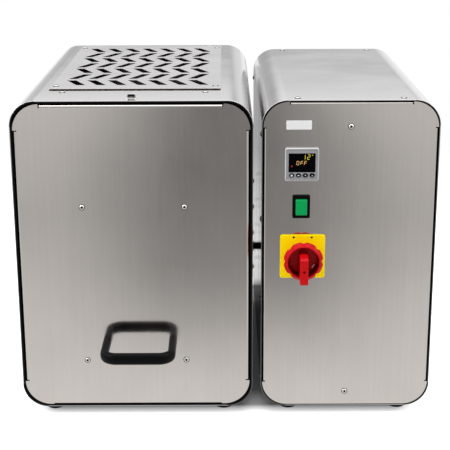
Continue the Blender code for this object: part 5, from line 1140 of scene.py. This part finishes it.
PLATE = Box("main_switch_plate")
PLATE_CORNER = 0.0030
DOT_X, DOT_Z, DOT_RADIUS, DOT_DEPTH = 0.013, 0.0292, 0.0017, 0.0016
PLUG_RADIUS, PLUG_FACE, PLUG_DEPTH = 0.0016, 0.0005, 0.0014
KNOB_LOBES = 8
KNOB_RIM, KNOB_FLANGE, KNOB_FLOOR = FRONT - 0.0325, FRONT - 0.0260, FRONT - 0.0150
KNOB_RADIUS, KNOB_CUP, KNOB_NECK, KNOB_DIP = 0.0286, 0.0218, 0.0200, 0.0021
GRIP_HALF, GRIP_TOP, GRIP_SHOULDER, GRIP_BOTTOM, GRIP_SOFT = 0.0058, 0.0125, 0.0110, 0.0290, 0.0011
LOCK_HOLE_Z, LOCK_HOLE_RADIUS, LOCK_HOLE_DEPTH = 0.0085, 0.0019, 0.0045
MARK_X, MARK_Z, MARK_TURN = 0.0145, -0.0105, math.radians(62)
MARK_HALF_WIDTH, MARK_HALF_LENGTH = 0.0007, 0.0032


def lobed(radius, dip, steps=192):
    """A round outline with a scallop between each pair of lobes, one of them at the top."""
    points = []
    for i in range(steps):
        angle = math.tau * i / steps
        wave = abs(math.cos(KNOB_LOBES / 2 * (angle - QUARTER)))
        reach = radius - dip * wave**10
        points.append((reach * math.cos(angle), reach * math.sin(angle)))
    return points


def plate_rods(start, end, radius):
    """A pair of round rods into the plate's face, for its two dots."""
    return gather([
        rod((PLATE.x + x, start, PLATE.z + DOT_Z), (PLATE.x + x, end, PLATE.z + DOT_Z), radius, steps=20)
        for x in (-DOT_X, DOT_X)
    ])


def switch_plate():
    front, back = PLATE.low.y, PLATE.high.y
    profile = [
        (back, EDGE), (back - EDGE, 0), (front + 0.0009, 0), (front + 0.0003, 0.0003), (front, 0.0010),
    ]
    plate = slab(PLATE.x, PLATE.z, PLATE.half_x, PLATE.half_x, PLATE_CORNER, profile, 8)
    plate = carved(plate, plate_rods(front - CUT, front + DOT_DEPTH, DOT_RADIUS))
    piece(
        "main_switch_escutcheon", plate, YELLOW, "cabinets", ("main_switch_plate",), sharp=40,
    )
    plugs = plate_rods(front + PLUG_FACE, front + PLUG_DEPTH, PLUG_RADIUS)
    piece("main_switch_plugs", plugs, BLACK_PLASTIC, "cabinets", weighted=False)


def switch_grip(tip):
    """The bar across the knob's cup, with the hole for a padlock near its top."""
    x, z = PLATE.x, PLATE.z
    top, shoulder, bottom = z + GRIP_TOP, z + GRIP_SHOULDER, z - GRIP_BOTTOM
    foot, heel, round_edge = KNOB_FLOOR + 0.0006, KNOB_FLANGE + 0.0040, 0.0030
    profile = [
        (foot, top), (KNOB_RIM, top), (tip + 0.0035, shoulder), (tip, shoulder - round_edge),
        (tip, bottom + round_edge), (tip + round_edge, bottom), (heel, bottom), (heel, z), (foot, z),
    ]
    grip = bevelled(extruded(profile, x - GRIP_HALF, x + GRIP_HALF), GRIP_SOFT, 3)
    hole_z = z - LOCK_HOLE_Z
    hole = rod((x, tip - CUT, hole_z), (x, tip + LOCK_HOLE_DEPTH, hole_z), LOCK_HOLE_RADIUS, steps=24)
    return carved(grip, hole)


def switch_knob():
    """The scalloped knob: a flange with lobes, a slope up to the rim, and a cup that holds the grip."""
    box, x, z = Box("main_switch_knob"), PLATE.x, PLATE.z
    flange, rim, floor, radius, cup = KNOB_FLANGE, KNOB_RIM, KNOB_FLOOR, KNOB_RADIUS, KNOB_CUP
    profile = (
        (box.high.y, KNOB_NECK, 0), (flange + 0.0050, radius - 0.0040, 0.4),
        (flange + 0.0028, radius - 0.0008, 1), (flange + 0.0016, radius, 1), (flange, radius, 1),
        (flange - 0.0008, radius - 0.0006, 0.9), (rim + 0.0008, cup + 0.0030, 0.25),
        (rim, cup + 0.0016, 0.1), (rim, cup + 0.0012, 0), (rim + 0.0005, cup + 0.0004, 0),
        (rim + 0.0014, cup, 0), (floor - 0.0012, cup - 0.0003, 0), (floor, cup - 0.0014, 0),
    )
    knob = loft([
        [(x + a, y, z + b) for a, b in lobed(reach, KNOB_DIP * share)] for y, reach, share in profile
    ])
    knob = carved(knob, switch_grip(box.low.y), "UNION")

    def in_cup(middle, normal):
        """The cup's wall and floor beside the grip, which take the knob's red painted darker as shade."""
        slack, lip, grip_edge = 0.0002, 0.0006, 0.0013
        inside = math.hypot(middle.x - x, middle.z - z) < cup + slack and middle.y > rim + lip
        return inside and abs(middle.x - x) > GRIP_HALF - grip_edge

    piece(
        "main_switch_handle", knob, RED, "main_switch", ("main_switch_knob",), sharp=40,
        inside=(RED_PAINTED_SHADE, in_cup),
    )
    turn = Matrix.Rotation(MARK_TURN, 2)
    corners = [
        turn @ Vector((sx * MARK_HALF_LENGTH, sz * MARK_HALF_WIDTH))
        for sx, sz in ((1, 1), (-1, 1), (-1, -1), (1, -1))
    ]
    outline = [(x + MARK_X + corner.x, z + MARK_Z + corner.y) for corner in corners]
    mark = extruded(outline, floor - PROUD, floor + PROUD, "Y")
    piece("main_switch_mark", mark, LABEL_WHITE, "main_switch", weighted=False)


switch_plate()
switch_knob()

# Label, catch and feet

LABEL_X, LABEL_Z = CONTROL_X - 0.0735, SHELL_LOW + 0.4304
LABEL_HALF_X, LABEL_HALF_Z, LABEL_CORNER, LABEL_FILM = 0.018, 0.0065, 0.0012, 0.0003


def label():
    """A blank plate stuck on the control panel."""
    face = PANEL_FACE - LABEL_FILM
    profile = [(PANEL_FACE - PROUD / 4, 0), (face, 0), (face - PROUD, PROUD)]
    plate = slab(LABEL_X, LABEL_Z, LABEL_HALF_X, LABEL_HALF_Z, LABEL_CORNER, profile)
    piece("label_plate", plate, LABEL_WHITE, "cabinets")


label()


def catch():
    """The bright catch at the front edge: a strip bent into an arch on a small base, with a roller in it."""
    box = Box("door_catch")
    base, steps, slack = box.low.z, 24, 0.0002
    plate, wall, inset, corner, depth = 0.0009, 0.0011, 0.0006, 0.0030, 0.003
    base_corner, soft = 0.0024, 0.00025
    outline = plate_outline(box.half_x, box.half_y, base_corner)
    foot = loft([
        [(box.x + a, box.y + b, z) for a, b in outline(edge)]
        for z, edge in ((base, 0), (base + plate * 0.75, 0), (base + plate, plate * 0.25))
    ])
    outer, start = box.half_x - inset, base + plate / 2
    reach, level = outer - corner, box.high.z - corner
    turns = [QUARTER * 2 * step / steps for step in range(steps // 2 + 1)]

    def bend(radius, way):
        """The arch's line from one side over its top to the other."""
        points = []
        for side, quarter in ((way, turns), (-way, turns[::-1])):
            for turn in quarter:
                points.append((side * (reach + radius * math.cos(turn)), level + radius * math.sin(turn)))
        return points

    line = [(outer, start), *bend(corner, 1), (-outer, start)]
    line += [(wall - outer, start), *bend(corner - wall, -1), (outer - wall, start)]
    arch = extruded([(box.x + a, z) for a, z in line], box.y - depth, box.y + depth, "Y")
    arch = bevelled(arch, soft, 2, math.radians(50))
    strip = gather((foot, arch))
    piece("door_catch_skin", strip, CHROME, "cabinets", ("door_catch",), sharp=40)
    half, radius, groove = outer - wall - slack, 0.0021, 0.0004
    profile = (
        (0, -half), (radius, -half), (radius, -groove), (radius - groove, 0), (radius, groove),
        (radius, half), (0, half),
    )
    roller = turned(profile, 24)
    place = Matrix.Translation((box.x, box.y, base + plate + radius + slack))
    roller.transform(place @ Matrix.Rotation(QUARTER, 4, "Y"))
    piece("door_catch_roller", roller, RUBBER, "cabinets", sharp=50)


catch()


def foot_skin(node):
    """A turned rubber foot with a soft lower edge and a shallow hollow below."""
    box = Box(node)
    r, h = box.half_x, box.high.z
    profile = (
        (0, h), (r - 0.0012, h), (r - 0.0003, h - 0.0004), (r, h - 0.0014), (r, 0.0030),
        (r - 0.0003, 0.0018), (r - 0.0010, 0.0008), (r - 0.0022, 0.0001), (r - 0.0030, 0),
        (r * 0.35, 0), (r * 0.32, 0.0006), (0, 0.0008),
    )
    foot = turned(profile, 40)
    foot.transform(Matrix.Translation((box.x, box.y, 0)))
    piece(f"{node}_skin", foot, RUBBER, "cabinets", (node,), sharp=50)


for node in sorted(NODES):
    if "_foot_" in node:
        foot_skin(node)

# CAD nodes that keep their shape

CARRIED = (
    (RUBBER, ("interconnect_duct",)),
    (BLACK_PAINT, (
        "front_bulkhead", "furnace_chassis", "door_carrier", "swing_frame", "lower_arm_left",
        "lower_arm_right", "pivot_bracket_left", "pivot_bracket_right",
    )),
    # The inner casing's zinc is painted dark as shade.
    (CASING_PAINTED_SHADE, ("inner_casing",)),
    (GALVANISED, ("control_chassis",)),
    (BOARD, (
        "door_insulation", "insulation_back", "insulation_floor", "insulation_left", "insulation_right",
        "insulation_roof",
    )),
    (HEARTH, ("hearth_plate",)),
    (ELEMENT, (
        "heating_element_left_front", "heating_element_left_rear", "heating_element_right_front",
        "heating_element_right_rear",
    )),
    (ALUMINIUM, (
        "terminal_strap_cross", "terminal_strap_left", "terminal_strap_right", "thermocouple", "power_stage",
    )),
    (LAMINATION, ("transformer_core",)),
    (WINDING, ("transformer_winding",)),
    (SWITCH_PLASTIC, ("contactor", "main_switch_body")),
    (BLACK_PLASTIC, ("mains_inlet",)),
)
for paint, nodes in CARRIED:
    for node in nodes:
        for slot in NODES[node].material_slots:
            slot.material = paint

# Stage, lamps and camera

AMBIENT = 0.85
LEVEL_STOPS = ((0.0, 0.50), (0.125, 0.52), (0.16, 0.60), (0.195, 1.2), (1.0, 1.2))
SIDE_STOPS = ((0.15, 0.0), (0.5, 0.85), (0.75, 0.35), (1.0, 0.35))
RIGHT_STOPS = ((0.03, 0.0), (0.12, 0.33), (0.5, 0.33), (0.75, 0.0))
RIGHT_TOP, RIGHT_END = 0.12, 0.145
DIM_FRONT, DIM_NEAR, DIM_FAR = 0.45, -0.9, -0.4
DIM_LOW, DIM_HIGH = 0.35, 0.7


def studio_world():
    """White to the camera; gloss sees a wall that dims towards the floor and in the front of the room."""
    world = bpy.data.worlds.new("studio")
    bpy.context.scene.world = world
    world.use_nodes = True
    p = Nodes(world.node_tree)
    background = p.tree.nodes["Background"]
    x, y, z = p.node("SeparateXYZ", {0: p.node("TexCoord").outputs["Generated"]}).outputs
    right = p.sum(p.ramp(x, RIGHT_STOPS), p.span(z, 1.0, 0.0, RIGHT_TOP, RIGHT_END), "MULTIPLY")
    wall = p.sum(p.sum(p.ramp(z, LEVEL_STOPS), p.ramp(p.aside(x), SIDE_STOPS)), right)
    dark = p.sum(p.span(y, 1.0, 0.0, DIM_NEAR, DIM_FAR), p.span(z, 1.0, 0.0, DIM_LOW, DIM_HIGH), "MULTIPLY")
    gloss = p.sum(wall, p.span(dark, 1.0, DIM_FRONT), "MULTIPLY")
    path = p.node("LightPath")
    camera = p.sum(path.outputs["Is Camera Ray"], path.outputs["Is Transmission Ray"], "MAXIMUM")
    plain = p.span(camera, AMBIENT, 1.0)
    shown = p.sum(p.sum(gloss, plain, "SUBTRACT"), path.outputs["Is Glossy Ray"], "MULTIPLY")
    p.put(background, "Color", (1, 1, 1, 1))
    p.put(background, "Strength", p.sum(plain, shown))


studio_world()


def sheet(name, half_x, low_y, high_y, z, material):
    bm = bmesh.new()
    bmesh.ops.create_grid(bm, x_segments=1, y_segments=1, size=1)
    bmesh.ops.scale(bm, verts=bm.verts, vec=(half_x, (high_y - low_y) / 2, 1))
    bmesh.ops.translate(bm, verts=bm.verts, vec=(0, (high_y + low_y) / 2, z))
    mesh = mesh_of(bm, name)
    mesh.materials.append(material)
    obj = added(name, mesh)
    return obj


FLOOR_REACH = 1.2
SIDE_INSET, FRONT_INSET, REAR_SHADE = 0.055, 0.032, 0.03
# The floor's glow and paper tone fall towards the object's footprint as a painted shadow; the gap between the
# cabinets gets painted light.
GLOW_PAINTED_SHADOW_STOPS = (
    (0.0, 0.02), (0.003, 0.09), (0.006, 0.20), (0.012, 0.33), (0.018, 0.42), (0.025, 0.55), (0.04, 1.0),
    (1.0, 1.0),
)
PAPER_PAINTED_SHADOW_STOPS = ((0.0, 0.24), (0.006, 0.55), (0.025, 0.82), (0.20, 0.80), (1.0, 0.0))
GAP_PAINTED_LIGHT, GAP_DEPTH, GAP_BLUR = 0.25, 0.085, 0.02
GLOSS_GLOW, GLOSS_PAPER = 0.45, 0.35
FAR_START, FAR_REACH = 1.2, 0.3


def gate(p, aside, behind):
    """How much of the floor's glow a ray sees: all of it straight on or through glass, a part off gloss.

    That part grows far behind the object and to its sides, where only the bends look."""
    path = p.node("LightPath")
    far = p.span(behind, 0.0, 1.0, FAR_START, FAR_START + FAR_REACH)
    glow = p.span(p.sum(far, p.span(aside, 0.0, 1.0, 0.0, FAR_REACH), "MULTIPLY"), GLOSS_GLOW, 1.0)
    gloss = p.sum(path.outputs["Is Glossy Ray"], glow, "MULTIPLY")
    shown = p.sum(path.outputs["Is Camera Ray"], gloss, "MAXIMUM")
    return p.sum(shown, path.outputs["Is Transmission Ray"], "MAXIMUM")


def floor_paint():
    """A white sweep: paper and glow with a painted shadow that darkens towards the object's footprint, and
    white background further away.

    A painted light brightens the floor in the gap between the cabinets near their fronts."""
    p = Paint("floor", Roughness=0.9, Specular_IOR_Level=0.0)
    x, y, _ = p.node("SeparateXYZ", {0: p.node("TexCoord").outputs["Object"]}).outputs
    parts = []
    for place, low, high in (
        (x, CAD_LOW.x + SIDE_INSET, CAD_HIGH.x - SIDE_INSET),
        (y, FRONT + FRONT_INSET, CAD_HIGH.y + REAR_SHADE),
    ):
        outside = p.sum(p.aside(place, (low + high) / 2), -(high - low) / 2)
        parts.append(p.sum(outside, 0.0, "MAXIMUM"))
    way = p.node("CombineXYZ", {0: parts[0], 1: parts[1]}).outputs[0]
    away = p.node("VectorMath", {0: way}, operation="LENGTH").outputs["Value"]
    distance = p.span(away, 0.0, 1.0, 0.0, FLOOR_REACH)
    gap_x, gap_half = (FURNACE_RIGHT + CONTROL_LEFT) / 2, (CONTROL_LEFT - FURNACE_RIGHT) / 2
    gap = p.span(p.aside(x, gap_x), GAP_PAINTED_LIGHT, 0.0, gap_half, gap_half + GAP_BLUR)
    gap = p.sum(gap, p.span(y, 1.0, 0.0, FRONT, FRONT + GAP_DEPTH), "MULTIPLY")
    gloss = p.node("LightPath").outputs["Is Glossy Ray"]
    return p.set(
        Base_Color=p.sum(p.ramp(distance, PAPER_PAINTED_SHADOW_STOPS), p.span(gloss, 1.0, GLOSS_PAPER), "MULTIPLY"),
        Emission_Color=(1, 1, 1, 1),
        Emission_Strength=p.sum(p.sum(p.ramp(distance, GLOW_PAINTED_SHADOW_STOPS), gap), gate(p, *parts), "MULTIPLY"),
        Normal=p.bump(p.noise(300, 2.0, 0.5), 0.02, 0.0001),
    )


LENS, SENSOR = 95.89, 36.0
DISTANCE, CAMERA_HEIGHT = 1.65584, 0.7886
PITCH, ROLL, YAW = math.radians(16.53), 0.0037, -0.0002
CARD_REACH, CARD_HEIGHT = 2.4, 0.002
CARD_CENTRE = (
    (0.0, 1.0), (0.046, 0.95), (0.113, 0.76), (0.163, 0.60), (0.244, 0.44), (0.296, 0.38), (0.454, 0.31),
    (0.64, 0.27), (1.0, 0.26),
)
CARD_SIDE = (
    (0.0, 1.0), (0.046, 0.96), (0.163, 0.88), (0.244, 0.80), (0.296, 0.74), (0.454, 0.66), (0.64, 0.74),
    (1.0, 0.82),
)
CARD_X, CARD_CORE, CARD_WIDE = 0.012, 0.085, 0.255
FLOOR_HALF, CARD_HALF, CARD_START = 30.0, 6.0, -8.0


def card_paint():
    """A grey card in front of the object that only gloss sees: dark in the middle, pale at its sides.

    Its pattern widens with the distance, as the shadow of someone standing in front would."""
    material = bpy.data.materials.new("card")
    material.use_nodes = True
    material.node_tree.nodes.clear()
    p = Nodes(material.node_tree)
    x, y, _ = p.node("SeparateXYZ", {0: p.node("TexCoord").outputs["Object"]}).outputs
    away = p.sum(FRONT, y, "SUBTRACT")
    share = p.span(away, 0.0, 1.0, 0.0, CARD_REACH)
    spread = p.span(away, 1.0, 2.0, 0.0, DISTANCE)
    pale = p.span(p.aside(p.sum(x, spread, "DIVIDE"), CARD_X), 0.0, 1.0, CARD_CORE, CARD_WIDE)
    tone = p.blend(pale, p.ramp(share, CARD_CENTRE), p.ramp(share, CARD_SIDE))
    glow = p.node("Emission", {"Color": tone, "Strength": 1.0}).outputs[0]
    p.put(p.node("OutputMaterial"), 0, glow)
    return material


sheet("floor", FLOOR_HALF, -FLOOR_HALF, FLOOR_HALF, 0.0, floor_paint())
card = sheet("card", CARD_HALF, CARD_START, FRONT, CARD_HEIGHT, card_paint())
for way in ("camera", "diffuse", "transmission", "volume_scatter", "shadow"):
    setattr(card, f"visible_{way}", False)

LAMP_AIM = (0, 0, 0.25)
LAMPS = (
    ("top_softbox", (0.0, -0.1, 2.3), (2.2, 2.2), 38),
    ("left_softbox", (-2.2, -1.3, 1.5), (1.2, 1.6), 22),
    ("right_softbox", (2.3, -1.2, 1.4), (1.2, 1.6), 14),
)
for name, place, size, power in LAMPS:
    data = bpy.data.lights.new(name, "AREA")
    data.shape = "RECTANGLE"
    data.size, data.size_y = size
    data.energy = power
    lamp = added(name, data)
    lamp.location = place
    lamp.rotation_mode = "QUATERNION"
    lamp.rotation_quaternion = (Vector(LAMP_AIM) - Vector(place)).to_track_quat("-Z", "Y")
    lamp.visible_camera = False

# The camera of the photograph
camera_data = bpy.data.cameras.new("camera")
camera_data.lens = LENS
camera_data.sensor_width = SENSOR
camera_data.clip_start, camera_data.clip_end = 0.05, 60.0
camera = added("camera", camera_data)
forward = Vector((math.sin(YAW) * math.cos(PITCH), math.cos(YAW) * math.cos(PITCH), -math.sin(PITCH)))
right = Vector((math.cos(YAW), -math.sin(YAW), 0))
down = forward.cross(right)
rolled_right = math.cos(ROLL) * right + math.sin(ROLL) * down
rolled_down = -math.sin(ROLL) * right + math.cos(ROLL) * down
turn = Matrix((rolled_right, -rolled_down, -forward)).transposed().to_4x4()
camera.matrix_world = Matrix.Translation((0.0, FRONT - DISTANCE, CAMERA_HEIGHT)) @ turn
bpy.context.scene.camera = camera
bpy.context.scene.view_settings.view_transform = "Standard"
